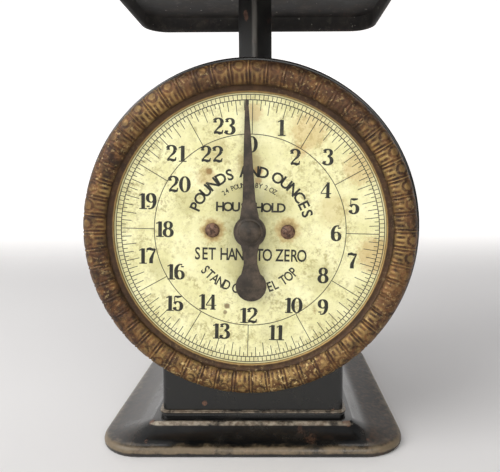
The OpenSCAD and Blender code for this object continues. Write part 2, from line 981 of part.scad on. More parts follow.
module carriage() {
    lug_back = link_pin_y + 3;
    color(steel)
        difference() {
            union() {
                xz_plate(carriage_y, carriage_y + carriage_t) {
                    translate([-flange_x, carriage_low])
                        square([2 * flange_x, carriage_top - carriage_low]);
                    translate([-yoke_half, carriage_low])
                        square([2 * yoke_half, yoke_h]);
                }
                for (z = [upper_pin_z, lower_pin_z])
                    both_sides()
                        span(lug_x, flange_x, carriage_y, lug_back, z - 3.5, z + 3.5);
            }
            both_sides()
                y_rod(spring_x, carriage_y - cut, carriage_y + carriage_t + cut, yoke_hole_z, yoke_hole_r);
            for (z = [upper_pin_z, lower_pin_z])
                x_rod(-flange_x - cut, flange_x + cut, link_pin_y, z, link_pin_d / 2 + 0.01);
            lower_rivet_shanks(0.02);
            rack_arm_rivet_shanks(0.02);
        }
}

module link_pins() {
    color(steel)
        for (z = [upper_pin_z, lower_pin_z]) {
            x_rod(-flange_x, flange_x, link_pin_y, z, link_pin_d / 2);
            both_sides()
                x_rod(flange_x, flange_x + 0.8, link_pin_y, z, link_pin_d / 2 + 0.7);
        }
}

// ---------- rack ----------

arm_low = carriage_top - 12;
arm_high = carriage_top - 2;
arm_out_x = flange_x + 0.2;
arm_mid = (arm_low + arm_high) / 2;
arm_screw_x = rack_x + 0.6 + rack_depth / 2;
rack_front_y = pinion_y - pinion_w + (pinion_w - rack_t) / 2;
rack_back_y = rack_front_y + rack_t;

module rack_arm_rivet_shanks(gap) {
    y_rod(post_rivet_x, post_back_y - 5, carriage_y + carriage_t + 1, arm_mid, post_rivet_r + gap);
}

module rack_arm() {
    arm_y = post_back_y - post_t;
    color(steel)
        difference() {
            union() {
                span(arm_out_x, arm_out_x + plate_t, rack_back_y, arm_y, arm_low, arm_high);
                span(rack_x + 0.6, arm_out_x + plate_t, rack_back_y, rack_back_y + plate_t, arm_low, arm_high);
                span(post_half + 0.6, arm_out_x + plate_t, arm_y - plate_t, arm_y, arm_low, arm_high);
            }
            rack_arm_rivet_shanks(0.02);
            rack_screw_shanks(0.02);
        }
}

rack_screw_heights = [arm_low + 2.5, arm_high - 2.5];

module rack_screw_shanks(gap) {
    for (z = rack_screw_heights)
        y_rod(arm_screw_x, rack_front_y - cut, rack_back_y + plate_t + cut, z, 0.8 + gap);
}

rack_first = floor((rack_low - dial_z) / tooth_pitch);
rack_last = ceil((travel + 5) / tooth_pitch);
tooth_half = (tooth_pitch / 2 - backlash) / 2;

function rack_tooth(i) = let (z = dial_z + i * tooth_pitch)
    [[rack_x + dedendum, z - tooth_half - dedendum * tan(pressure)],
     [rack_x - addendum, z - tooth_half + addendum * tan(pressure)],
     [rack_x - addendum, z + tooth_half - addendum * tan(pressure)],
     [rack_x + dedendum, z + tooth_half + dedendum * tan(pressure)]];

module rack() {
    low = dial_z + (rack_first - 0.5) * tooth_pitch;
    back_x = rack_x + 0.6 + rack_depth;
    color(brass)
        difference() {
            xz_plate(rack_front_y, rack_back_y)
                polygon(concat(
                    [[back_x, low], [rack_x + dedendum, low]],
                    [for (i = [rack_first:rack_last]) each rack_tooth(i)],
                    [[rack_x + dedendum, arm_high], [back_x, arm_high]]));
            rack_screw_shanks(0.02);
        }
}

module rack_screws() {
    color(steel)
        for (z = rack_screw_heights) {
            y_rod(arm_screw_x, rack_front_y, rack_back_y + plate_t, z, 0.8);
            y_rod(arm_screw_x, rack_front_y - 0.9, rack_front_y, z, 1.7);
        }
}

// ---------- check links ----------

// drawn level, from the fixed pivot at the origin towards -Y, then tilted up at rest
module check_link(pivot_z) {
    slot_long = link_long - link_reach + link_pin_d + 0.9;
    slot_wide = link_pin_d + 1;
    slot_mid = (link_long + link_reach) / 2;
    strip_h = 7;
    strip_long = slot_mid + slot_long / 2 + strip_h - 0.6;
    color(steel)
        translate([0, pivot_y, pivot_z])
            rotate([-link_angle, 0, 0])
                difference() {
                    union() {
                        x_rod(-link_x - plate_t, link_x + plate_t, 0, 0, strip_h / 2);
                        both_sides()
                            yz_plate(link_x, link_x + plate_t)
                                translate([strip_h / 2 - strip_long / 2, 0])
                                    slot_2d(strip_long, strip_h);
                    }
                    x_rod(-link_x - 5, link_x + 5, 0, 0, link_pin_d / 2 + run_gap);
                    both_sides()
                        yz_plate(link_x - cut, link_x + plate_t + cut)
                            translate([-slot_mid, 0])
                                slot_2d(slot_long, slot_wide);
                }
}

module upper_link() {
    check_link(upper_pivot_z);
}

module lower_link() {
    check_link(lower_pivot_z);
}

// ---------- springs and zero screw ----------

module spring_bar() {
    arm_w = 5;
    mid_z = bar_z + bar_t / 2;
    color(steel)
        difference() {
            union() {
                span(-upright_x - plate_t - 0.6, upright_x + plate_t + 0.6, bar_y, bar_y + bar_w,
                     bar_z, bar_z + bar_t);
                both_sides() {
                    span(spring_x - arm_w / 2, spring_x + arm_w / 2, bar_y - 3, bar_y + 1, bar_z, bar_z + bar_t);
                    y_rod(spring_x, spring_y - 4, bar_y, mid_z, peg_r);
                    y_rod(spring_x, spring_y - 5, spring_y - 4, mid_z, peg_r + 1);
                }
            }
            z_rod(0, zero_y, bar_z - cut, bar_z + bar_t + cut, zero_d / 2 + run_gap);
        }
}

// close-wound coils drawn as a ribbed tube, with a plug and an eye at each end
module weighing_spring(x) {
    r_out = (spring_d + wire_d) / 2;
    r_in = (spring_d - wire_d) / 2;
    ribs = spring_coils + 1;
    rib_h = coil_h / ribs;
    coil_end = coil_z + coil_h;
    color(steel)
        translate([x, spring_y, 0]) {
            translate([0, 0, coil_z])
                rotate_extrude($fn = 48)
                    polygon(concat(
                        [[0, coil_h], [0, coil_h - 3], [r_in, coil_h - 3], [r_in, 3], [0, 3], [0, 0]],
                        [for (i = [0:ribs - 1]) each [[r_out - 0.5, i * rib_h],
                                                      [r_out, (i + 0.5) * rib_h]]],
                        [[r_out - 0.5, coil_h]]));
            z_rod(0, 0, coil_end - 1, hook_top_z - hook_r, wire_d / 2);
            z_rod(0, 0, hook_low_z + hook_r, coil_z + 1, wire_d / 2);
            translate([0, 0, hook_top_z])
                rotate([90, 0, 0])
                    hook_ring();
            translate([0, 0, hook_low_z])
                rotate([0, 90, 0])
                    hook_ring();
        }
}

module hook_ring() {
    rotate_extrude($fn = 48)
        translate([hook_r, 0])
            circle(r = wire_d / 2, $fn = 24);
}

module left_spring() {
    weighing_spring(-spring_x);
}

module right_spring() {
    weighing_spring(spring_x);
}

module zero_screw() {
    head_r = 7;
    head_h = 6;
    collar_r = zero_d / 2 + 2;
    color(brass)
        difference() {
            union() {
                z_rod(0, zero_y, bar_z - 6, col_top + 1.5, zero_d / 2);
                z_rod(0, zero_y, bridge_z + bridge_t + 0.1, bridge_z + bridge_t + 2.4, collar_r);
                z_rod(0, zero_y, col_top + 1, col_top + 1 + head_h, head_r);
            }
            for (a = [0:15:345])
                translate([0, zero_y, 0])
                    rotate(a)
                        z_rod(head_r + 0.35, 0, col_top, col_top + head_h + 2, 0.75);
            span(-head_r - 1, head_r + 1, zero_y - 0.6, zero_y + 0.6, col_top + head_h - 0.6, col_top + head_h + 2);
        }
}

base_shell();
bed_plate();
bed_rivets();
column_front();
back_cover();
back_screws();
column_screws();
cap();
dial_case();
case_rivets();
dial_pillars();
dial_plate();
dial_screws();
bezel();
front_bush();
left_upright();
right_upright();
upright_screws();
arbor_plate();
arbor_plate_screws();
rear_bush();
bridge();
pivot_pins();
tray();
tray_spider();
tray_rivets();
post();
carriage();
post_rivets();
link_pins();
rack_arm();
rack();
rack_screws();
arbor();
arbor_collar();
pinion();
pointer_bush();
pointer();
hub_cap();
upper_link();
lower_link();
spring_bar();
left_spring();
right_spring();
zero_screw();
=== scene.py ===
import math

import bmesh
import bpy
from mathutils import Matrix, Vector


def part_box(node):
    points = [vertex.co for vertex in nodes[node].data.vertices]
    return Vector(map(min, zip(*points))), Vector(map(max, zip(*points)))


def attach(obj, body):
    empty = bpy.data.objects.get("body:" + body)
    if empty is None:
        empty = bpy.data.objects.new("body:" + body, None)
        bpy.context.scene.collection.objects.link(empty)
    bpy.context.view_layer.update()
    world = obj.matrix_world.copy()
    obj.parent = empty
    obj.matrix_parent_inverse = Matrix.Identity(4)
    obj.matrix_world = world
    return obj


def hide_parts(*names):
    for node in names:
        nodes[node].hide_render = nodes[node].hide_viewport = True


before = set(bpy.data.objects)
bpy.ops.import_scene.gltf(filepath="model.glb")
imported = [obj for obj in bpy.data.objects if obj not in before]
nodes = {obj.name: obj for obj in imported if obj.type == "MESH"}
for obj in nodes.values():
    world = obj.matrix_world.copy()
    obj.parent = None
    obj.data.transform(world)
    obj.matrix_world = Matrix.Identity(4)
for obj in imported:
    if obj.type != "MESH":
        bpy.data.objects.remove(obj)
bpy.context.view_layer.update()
bpy.ops.object.select_all(action="DESELECT")

MM = 0.001


def middle(node):
    low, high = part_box(node)
    return (low + high) / 2


dial_low, dial_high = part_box("dial_plate")
DIAL = Vector((middle("dial_plate").x, dial_low.y, middle("dial_plate").z))
DIAL_TURN = math.radians(1.6)

# ---------------------------------------------------------------- camera

CAMERA_PLACE = Vector((0.01264, -0.30677, 0.13422))
CAMERA_TURN = 0.007786
CAMERA_DIP = 0.08817
CAMERA_ROLL = -0.003565


def make_camera():
    """A camera a little above the dial, looking slightly down at the scale."""
    lens = bpy.data.cameras.new("camera")
    camera = bpy.data.objects.new("camera", lens)
    bpy.context.scene.collection.objects.link(camera)
    lens.sensor_width = 36
    lens.lens = 35.83
    lens.shift_x = -0.0452
    lens.shift_y = -0.0254
    lens.clip_start = 0.01
    lens.clip_end = 20
    turn_sin, turn_cos = math.sin(CAMERA_TURN), math.cos(CAMERA_TURN)
    dip_sin, dip_cos = math.sin(CAMERA_DIP), math.cos(CAMERA_DIP)
    look = Vector((-turn_sin * dip_cos, turn_cos * dip_cos, -dip_sin))
    level = Vector((turn_cos, turn_sin, 0))
    upright = level.cross(look)
    right = level * math.cos(CAMERA_ROLL) + upright * math.sin(CAMERA_ROLL)
    up = upright * math.cos(CAMERA_ROLL) - level * math.sin(CAMERA_ROLL)
    rows = [(right[i], up[i], -look[i], CAMERA_PLACE[i]) for i in range(3)]
    camera.matrix_world = Matrix((*rows, (0, 0, 0, 1)))
    return camera


bpy.context.scene.camera = make_camera()


# ---------------------------------------------------------------- floor and light


def softbox(name, place, target, width, height, power, colour):
    """A rectangular lamp at place, facing target."""
    light = bpy.data.lights.new(name, "AREA")
    light.shape = "RECTANGLE"
    light.size = width
    light.size_y = height
    light.energy = power
    light.color = colour
    lamp = bpy.data.objects.new(name, light)
    bpy.context.scene.collection.objects.link(lamp)
    lamp.location = place
    lamp.rotation_euler = (Vector(target) - Vector(place)).to_track_quat("-Z", "Y").to_euler()


softbox("window_light", (-1.1, -0.75, 1.0), (0, -0.02, 0.12), 1.2, 1.2, 17, (1.0, 0.99, 0.96))
softbox("front_fill", (0.5, -1.5, 0.8), (0, -0.05, 0.12), 1.6, 1.0, 12, (1.0, 0.98, 0.94))


def light_world():
    """Even daylight that falls off from the left, where the window is, to the right."""
    world = bpy.data.worlds.new("studio")
    world.use_nodes = True
    tree = world.node_tree
    sky = tree.nodes["Background"]
    sky.inputs["Color"].default_value = (0.95, 0.95, 0.96, 1)
    way = tree.nodes.new("ShaderNodeTexCoord")
    split = tree.nodes.new("ShaderNodeSeparateXYZ")
    ramp = tree.nodes.new("ShaderNodeMapRange")
    tree.links.new(way.outputs["Generated"], split.inputs[0])
    tree.links.new(split.outputs["X"], ramp.inputs["Value"])
    for name, step in (("From Min", -0.9), ("From Max", 0.7), ("To Min", 0.66), ("To Max", 0.1)):
        ramp.inputs[name].default_value = step
    tree.links.new(ramp.outputs[0], sky.inputs["Strength"])
    return world


bpy.context.scene.world = light_world()
bpy.context.scene.view_settings.view_transform = "Standard"


def sweep_backdrop():
    """A pale floor that curves up into a wall behind the scale."""
    bpy.ops.object.select_all(action="DESELECT")
    bpy.ops.mesh.primitive_plane_add(size=1, location=(0, 0.1, 0))
    floor = bpy.context.object
    floor.name = "studio_floor"
    bpy.ops.object.mode_set(mode="EDIT")
    bpy.ops.mesh.select_all(action="SELECT")
    bpy.ops.transform.resize(value=(8, 3.4, 1), center_override=(0, 0.1, 0))
    mesh = bmesh.from_edit_mesh(floor.data)
    for edge in mesh.edges:
        edge.select_set(all(v.co.y > 0.45 for v in edge.verts))
    bmesh.update_edit_mesh(floor.data)
    steps, stride = 8, 0.16
    for step in range(steps):
        turn = math.radians(90 / steps * (step + 0.5))
        bpy.ops.mesh.extrude_edges_move(
            TRANSFORM_OT_translate={"value": (0, stride * math.cos(turn), stride * math.sin(turn))}
        )
    bpy.ops.mesh.extrude_edges_move(TRANSFORM_OT_translate={"value": (0, 0, 2.5)})
    bpy.ops.object.mode_set(mode="OBJECT")
    bpy.ops.object.shade_smooth()
    return floor


# ---------------------------------------------------------------- finishes


class Finish:
    """One procedural finish, built up node by node."""

    def __init__(self, name):
        self.material = bpy.data.materials.new(name)
        self.material.use_nodes = True
        self.tree = self.material.node_tree
        self.tree.nodes.clear()
        self.out = self.tree.nodes.new("ShaderNodeOutputMaterial")
        self.shader = self.tree.nodes.new("ShaderNodeBsdfPrincipled")
        self.tree.links.new(self.shader.outputs["BSDF"], self.out.inputs["Surface"])
        self.where = self.tree.nodes.new("ShaderNodeTexCoord").outputs["Object"]

    def feed(self, socket, value):
        """Link a socket to another, or set it to a constant."""
        if isinstance(value, bpy.types.NodeSocket):
            self.tree.links.new(value, socket)
        elif isinstance(value, tuple) and len(value) == 3 and socket.type == "RGBA":
            socket.default_value = (*value, 1)
        else:
            socket.default_value = value

    def set(self, name, value):
        self.feed(self.shader.inputs[name], value)

    def math(self, kind, a, b=0.0, c=0.0):
        node = self.tree.nodes.new("ShaderNodeMath")
        node.operation = kind
        for socket, value in zip(node.inputs, (a, b, c)):
            self.feed(socket, value)
        return node.outputs[0]

    def axes(self):
        node = self.tree.nodes.new("ShaderNodeSeparateXYZ")
        self.feed(node.inputs[0], self.where)
        return node.outputs

    def noise(self, scale, detail=4.0, rough=0.6, vector=None):
        node = self.tree.nodes.new("ShaderNodeTexNoise")
        self.feed(node.inputs["Vector"], vector or self.where)
        self.feed(node.inputs["Scale"], scale)
        self.feed(node.inputs["Detail"], detail)
        self.feed(node.inputs["Roughness"], rough)
        return node.outputs["Fac"]

    def distance(self, centre):
        node = self.tree.nodes.new("ShaderNodeVectorMath")
        node.operation = "DISTANCE"
        self.feed(node.inputs[0], self.where)
        node.inputs[1].default_value = centre
        return node.outputs["Value"]

    def stretched(self, scale):
        node = self.tree.nodes.new("ShaderNodeMapping")
        self.feed(node.inputs["Vector"], self.where)
        node.inputs["Scale"].default_value = scale
        return node.outputs[0]

    def fade(self, value, low, high):
        """0 below low, 1 above high, or the other way round where low is the larger."""
        node = self.tree.nodes.new("ShaderNodeMapRange")
        node.interpolation_type = "SMOOTHSTEP"
        self.feed(node.inputs["Value"], value)
        if low < high:
            steps = (low, high, 0.0, 1.0)
        else:
            steps = (high, low, 1.0, 0.0)
        for name, step in zip(("From Min", "From Max", "To Min", "To Max"), steps):
            node.inputs[name].default_value = step
        return node.outputs[0]

    def band(self, value, centre, half, soft):
        """1 where the value is within half of the centre, with a soft edge."""
        away = self.math("ABSOLUTE", self.math("SUBTRACT", value, centre))
        return self.fade(away, half + soft, half)

    def spot(self, centre, radius, soft, ragged):
        """1 inside a ball round centre, with a soft and ragged edge."""
        away = self.math("MULTIPLY_ADD", self.noise(430.0, 5.0, 0.7), ragged, self.distance(centre))
        radius = radius + ragged / 2
        return self.fade(away, radius + soft, radius)

    def mix(self, share, a, b):
        node = self.tree.nodes.new("ShaderNodeMix")
        node.data_type = "RGBA"
        self.feed(node.inputs["Factor"], share)
        self.feed(node.inputs["A"], a)
        self.feed(node.inputs["B"], b)
        return node.outputs["Result"]

    def most(self, *values):
        total = values[0]
        for value in values[1:]:
            total = self.math("MAXIMUM", total, value)
        return total

    def times(self, *values):
        total = values[0]
        for value in values[1:]:
            total = self.math("MULTIPLY", total, value)
        return total

    def level(self, share, low, high):
        """From low, where the share is 0, to high, where it is 1."""
        return self.math("MULTIPLY_ADD", share, high - low, low)

    def bump(self, height, distance, strength):
        node = self.tree.nodes.new("ShaderNodeBump")
        self.feed(node.inputs["Height"], height)
        node.inputs["Distance"].default_value = distance
        node.inputs["Strength"].default_value = strength
        self.tree.links.new(node.outputs[0], self.shader.inputs["Normal"])

    def attribute(self, name):
        node = self.tree.nodes.new("ShaderNodeAttribute")
        node.attribute_name = name
        return node.outputs["Fac"]


def studio_paper():
    """Pale paper, which glows a little towards the back so that the wall is nearly white."""
    paper = Finish("studio_paper")
    depth = paper.axes()["Y"]
    paper.set("Base Color", (0.84, 0.83, 0.835))
    paper.set("Roughness", 0.9)
    paper.set("Specular IOR Level", 0.2)
    paper.set("Emission Color", (1.0, 0.985, 0.96))
    paper.set("Emission Strength", paper.math("MULTIPLY", paper.fade(depth, 0.2, 0.95), 0.55))
    return paper.material


ENAMEL_TONES = ((0.005, 0.0052, 0.0055), (0.016, 0.0145, 0.012))
ENAMEL_ROUGH = (0.16, 0.36)
TAN = (0.165, 0.125, 0.075)


def enamel(
    name, wear_spots=(), rim=None, foot=None, front_edge=None, dusty=0.25, tones=ENAMEL_TONES,
    rough_range=ENAMEL_ROUGH, chips=0.0, sides=None, ridge=None,
):
    """Glossy black enamel with brown where it has rubbed through.

    wear_spots: (centre, radius, strength) of rubbed places. dusty: strength of the thin wear all over.
    chips: strength of small pale chips and scuffs. sides: (distance from the middle where the left and
    right flanks start, strength on the left, strength on the right, colour). ridge: (depth in front of
    which an edge is painted pale in streaks as a painted highlight, colour). rim: (low, high, softness,
    colour) of a bare band by height.
    foot: (height, half width, colour) of a pale line, kept to what lies in front of front_edge if given.
    """
    black = Finish(name)
    x, y, z = black.axes()
    grime = black.noise(70.0, 6.0, 0.65)
    fine = black.noise(420.0, 5.0, 0.7)
    colour = black.mix(black.fade(grime, 0.42, 0.72), *tones)
    brown = black.mix(black.fade(fine, 0.35, 0.65), (0.075, 0.032, 0.02), (0.17, 0.085, 0.05))
    thin_wear = black.times(black.fade(black.noise(38.0, 5.0, 0.7), 0.6, 0.72), black.fade(fine, 0.42, 0.6))
    worn = black.times(thin_wear, dusty)
    for centre, radius, strength in wear_spots:
        here = black.spot(centre, radius * 0.6, radius * 0.25, radius * 1.9)
        worn = black.most(worn, black.times(here, strength))
    colour = black.mix(worn, colour, brown)
    if chips:
        chipped = black.times(black.fade(black.noise(260.0, 2.0, 0.5), 0.71, 0.76), chips)
        colour = black.mix(chipped, colour, (0.34, 0.31, 0.27))
        scuffed = black.times(black.fade(black.noise(110.0, 6.0, 0.75), 0.52, 0.66), chips * 0.45)
        colour = black.mix(scuffed, colour, (0.11, 0.09, 0.075))
    rough = black.level(black.fade(grime, 0.35, 0.75), *rough_range)
    rough = black.math("MAXIMUM", rough, black.times(worn, 0.6))
    if sides:
        start, left_share, right_share, tint = sides
        flank = black.most(
            black.times(black.fade(x, start, start + 0.009), right_share),
            black.times(black.fade(x, -start, -start - 0.009), left_share),
        )
        flank = black.times(flank, black.fade(black.noise(60.0, 5.0, 0.7), 0.18, 0.42))
        colour = black.mix(flank, colour, black.mix(black.fade(fine, 0.4, 0.7), tint, (0.07, 0.036, 0.02)))
        rough = black.math("MAXIMUM", rough, black.times(flank, 0.8))
    # painted highlight: the ridge entry paints pale streaks along the front edge, where the edge catches the
    # light
    if ridge:
        depth, pale = ridge
        highlight_streaks = black.noise(190.0, 4.0, 0.6, vector=black.stretched((1, 1, 0.15)))
        rubbed = black.times(black.fade(y, depth + 0.0012, depth), black.fade(highlight_streaks, 0.3, 0.6))
        colour = black.mix(rubbed, colour, pale)
    if rim:
        low, high, soft, tan = rim
        edge = black.math("MULTIPLY_ADD", black.noise(160.0, 4.0, 0.6), -0.0016, z)
        bare = black.times(black.fade(edge, high, high - soft), black.fade(edge, low - 0.0004, low + 0.0006))
        bare = black.times(bare, black.fade(black.noise(95.0, 5.0, 0.7), 0.26, 0.5))
        tan_colour = black.mix(black.fade(fine, 0.45, 0.75), tan, (0.23, 0.16, 0.10))
        colour = black.mix(bare, colour, tan_colour)
        rough = black.math("MAXIMUM", rough, black.times(bare, 0.55))
    if foot:
        level, half, pale = foot
        line = black.band(z, level, half, half * 0.8)
        if front_edge:
            forward = black.math("MULTIPLY", y, -1.0)
            line = black.times(line, black.fade(forward, front_edge, front_edge + 0.0004))
        line = black.times(line, black.fade(black.noise(120.0, 4.0, 0.6), 0.3, 0.55))
        colour = black.mix(line, colour, black.mix(black.fade(fine, 0.4, 0.65), pale, (0.12, 0.085, 0.055)))
        rough = black.math("MAXIMUM", rough, black.times(line, 0.5))
    black.set("Base Color", colour)
    black.set("Roughness", rough)
    black.set("Coat Weight", 0.25 if rough_range is ENAMEL_ROUGH else 0.03)
    black.set("Coat Roughness", 0.12)
    black.bump(black.math("ADD", black.times(grime, 0.7), black.times(fine, 0.3)), 0.00025, 0.35)
    return black.material


def steel(name, dark, light, rough=0.38):
    """Bare steel with a drawn grain and patches of smut."""
    plain = Finish(name)
    smut = plain.noise(55.0, 6.0, 0.7)
    grain = plain.noise(60.0, 3.0, 0.6, vector=plain.stretched((1, 12, 1)))
    plain.set("Base Color", plain.mix(plain.fade(smut, 0.3, 0.75), dark, light))
    plain.set("Metallic", 0.9)
    plain.set("Roughness", plain.level(smut, rough - 0.1, rough + 0.18))
    plain.bump(grain, 0.0001, 0.3)
    return plain.material


def bush_brass():
    """Turned brass, darkened unevenly."""
    brass = Finish("bush_brass")
    tone = brass.noise(80.0, 5.0, 0.65)
    brass.set("Base Color", brass.mix(tone, (0.35, 0.22, 0.08), (0.72, 0.52, 0.24)))
    brass.set("Metallic", 1.0)
    brass.set("Roughness", brass.level(tone, 0.28, 0.5))
    brass.bump(brass.noise(600.0, 3.0), 0.00005, 0.3)
    return brass.material


RUST = (0.13, 0.055, 0.02)
UMBER = (0.15, 0.09, 0.03)
OCHRE = (0.50, 0.33, 0.12)
OLIVE = (0.46, 0.42, 0.18)
SAND = (0.62, 0.42, 0.17)
TEA = (0.55, 0.34, 0.12)
SPOT = (0.2, 0.13, 0.06)
# place from the middle of the dial and size in millimetres, colour, strength
STAINS = [
    ((-18.1, 0.5), 5.2, OCHRE, 0.8),
    ((18.1, 0.5), 5.4, OCHRE, 0.75),
    ((-18.1, 0.5), 3.7, UMBER, 0.8),
    ((18.1, 0.5), 3.6, UMBER, 0.7),
    ((-19.3, 28.6), 1.5, RUST, 0.95),
    ((-20.5, 26.0), 4.2, OCHRE, 0.5),
    ((4.0, 29.0), 1.9, (0.50, 0.22, 0.05), 0.85),
    ((4.0, 24.0), 1.6, (0.45, 0.26, 0.08), 0.6),
    ((-11.5, -36.5), 1.3, SPOT, 0.85),
    ((-12.5, -39.5), 0.9, SPOT, 0.75),
    ((-30.0, 14.0), 6.0, OLIVE, 0.35),
    ((34.0, -22.0), 7.0, OLIVE, 0.3),
    ((-44.0, -18.0), 5.0, OLIVE, 0.35),
    ((10.0, -50.0), 6.0, OLIVE, 0.3),
    ((2.0, 56.0), 4.0, SAND, 0.55),
    ((28.0, 47.0), 8.0, SAND, 0.5),
    ((24.0, 38.0), 3.0, TEA, 0.45),
    ((52.0, 30.0), 7.0, SAND, 0.5),
    ((60.0, -12.0), 8.0, TEA, 0.55),
    ((40.0, 10.0), 7.0, (0.62, 0.48, 0.2), 0.4),
    ((-16.0, 38.0), 6.0, (0.5, 0.42, 0.18), 0.45),
    ((-10.0, 16.0), 8.0, OLIVE, 0.5),
    ((12.0, 14.0), 7.0, OLIVE, 0.5),
    ((-3.0, -18.0), 8.0, OLIVE, 0.5),
    ((0.0, 32.0), 6.0, (0.45, 0.34, 0.13), 0.6),
]


def dial_enamel():
    """Cream paint, mottled olive and brown, with rust stains round the screws and a few old spots."""
    cream = Finish("dial_enamel")
    cloud = cream.noise(70.0, 8.0, 0.76)
    speck = cream.noise(240.0, 6.0, 0.75)
    colour = cream.mix(cream.fade(cloud, 0.35, 0.7), (0.80, 0.765, 0.40), (0.98, 0.955, 0.60))
    blotch = cream.fade(cream.noise(60.0, 4.0), 0.38, 0.6)
    mottled = cream.times(cream.fade(cream.noise(380.0, 6.0, 0.75), 0.47, 0.62), blotch)
    colour = cream.mix(cream.times(mottled, 0.75), colour, (0.46, 0.40, 0.17))
    pepper = cream.noise(900.0, 4.0, 0.7)
    colour = cream.mix(cream.times(cream.fade(pepper, 0.55, 0.7), 0.35), colour, (0.42, 0.37, 0.15))
    colour = cream.mix(cream.times(cream.fade(speck, 0.6, 0.72), 0.6), colour, (0.38, 0.25, 0.09))
    away = cream.distance(DIAL)
    middle_dirt = cream.times(cream.fade(away, 0.03, 0.009), cream.fade(cloud, 0.3, 0.6))
    colour = cream.mix(cream.times(middle_dirt, 0.6), colour, (0.33, 0.31, 0.13))
    # darker in a smooth ring towards the bezel
    rim_darkening = cream.fade(away, 0.060, 0.0665)
    colour = cream.mix(cream.times(rim_darkening, 0.45), colour, (0.50, 0.43, 0.22))
    for (across, above), size, tint, strength in STAINS:
        centre = DIAL + Vector((across * MM, 0, above * MM))
        reach = size * MM
        here = cream.spot(centre, reach * 0.7, reach * 0.7, reach * 1.4)
        colour = cream.mix(cream.times(here, strength), colour, tint)
    cream.set("Base Color", colour)
    cream.set("Roughness", cream.level(cloud, 0.42, 0.6))
    cream.set("Specular IOR Level", 0.35)
    cream.bump(speck, 0.00006, 0.3)
    return cream.material


def ink():
    """Black printing, worn thin in places."""
    black = Finish("dial_ink")
    thin = black.noise(300.0, 4.0, 0.7)
    black.set("Base Color", black.mix(black.fade(thin, 0.5, 0.8), (0.018, 0.018, 0.012), (0.09, 0.085, 0.05)))
    black.set("Roughness", 0.55)
    return black.material


def pointer_iron():
    """Dark iron, browned all over."""
    iron = Finish("pointer_iron")
    rust = iron.noise(150.0, 6.0, 0.7)
    cloud = iron.noise(45.0, 4.0)
    colour = iron.mix(iron.fade(rust, 0.4, 0.7), (0.036, 0.029, 0.022), (0.115, 0.085, 0.06))
    colour = iron.mix(iron.times(iron.fade(cloud, 0.45, 0.75), 0.6), colour, (0.11, 0.085, 0.075))
    iron.set("Base Color", colour)
    iron.set("Metallic", 0.35)
    iron.set("Roughness", iron.level(rust, 0.42, 0.7))
    iron.bump(rust, 0.0002, 0.6)
    return iron.material


def rusty_screw():
    """A screw head, rusted red-brown."""
    head = Finish("rusty_screw")
    rust = head.noise(500.0, 5.0, 0.7)
    colour = head.mix(head.fade(rust, 0.38, 0.62), (0.06, 0.032, 0.022), (0.23, 0.13, 0.085))
    head.set("Base Color", colour)
    head.set("Metallic", 0.3)
    head.set("Roughness", head.level(rust, 0.4, 0.65))
    head.bump(rust, 0.0002, 0.6)
    return head.material


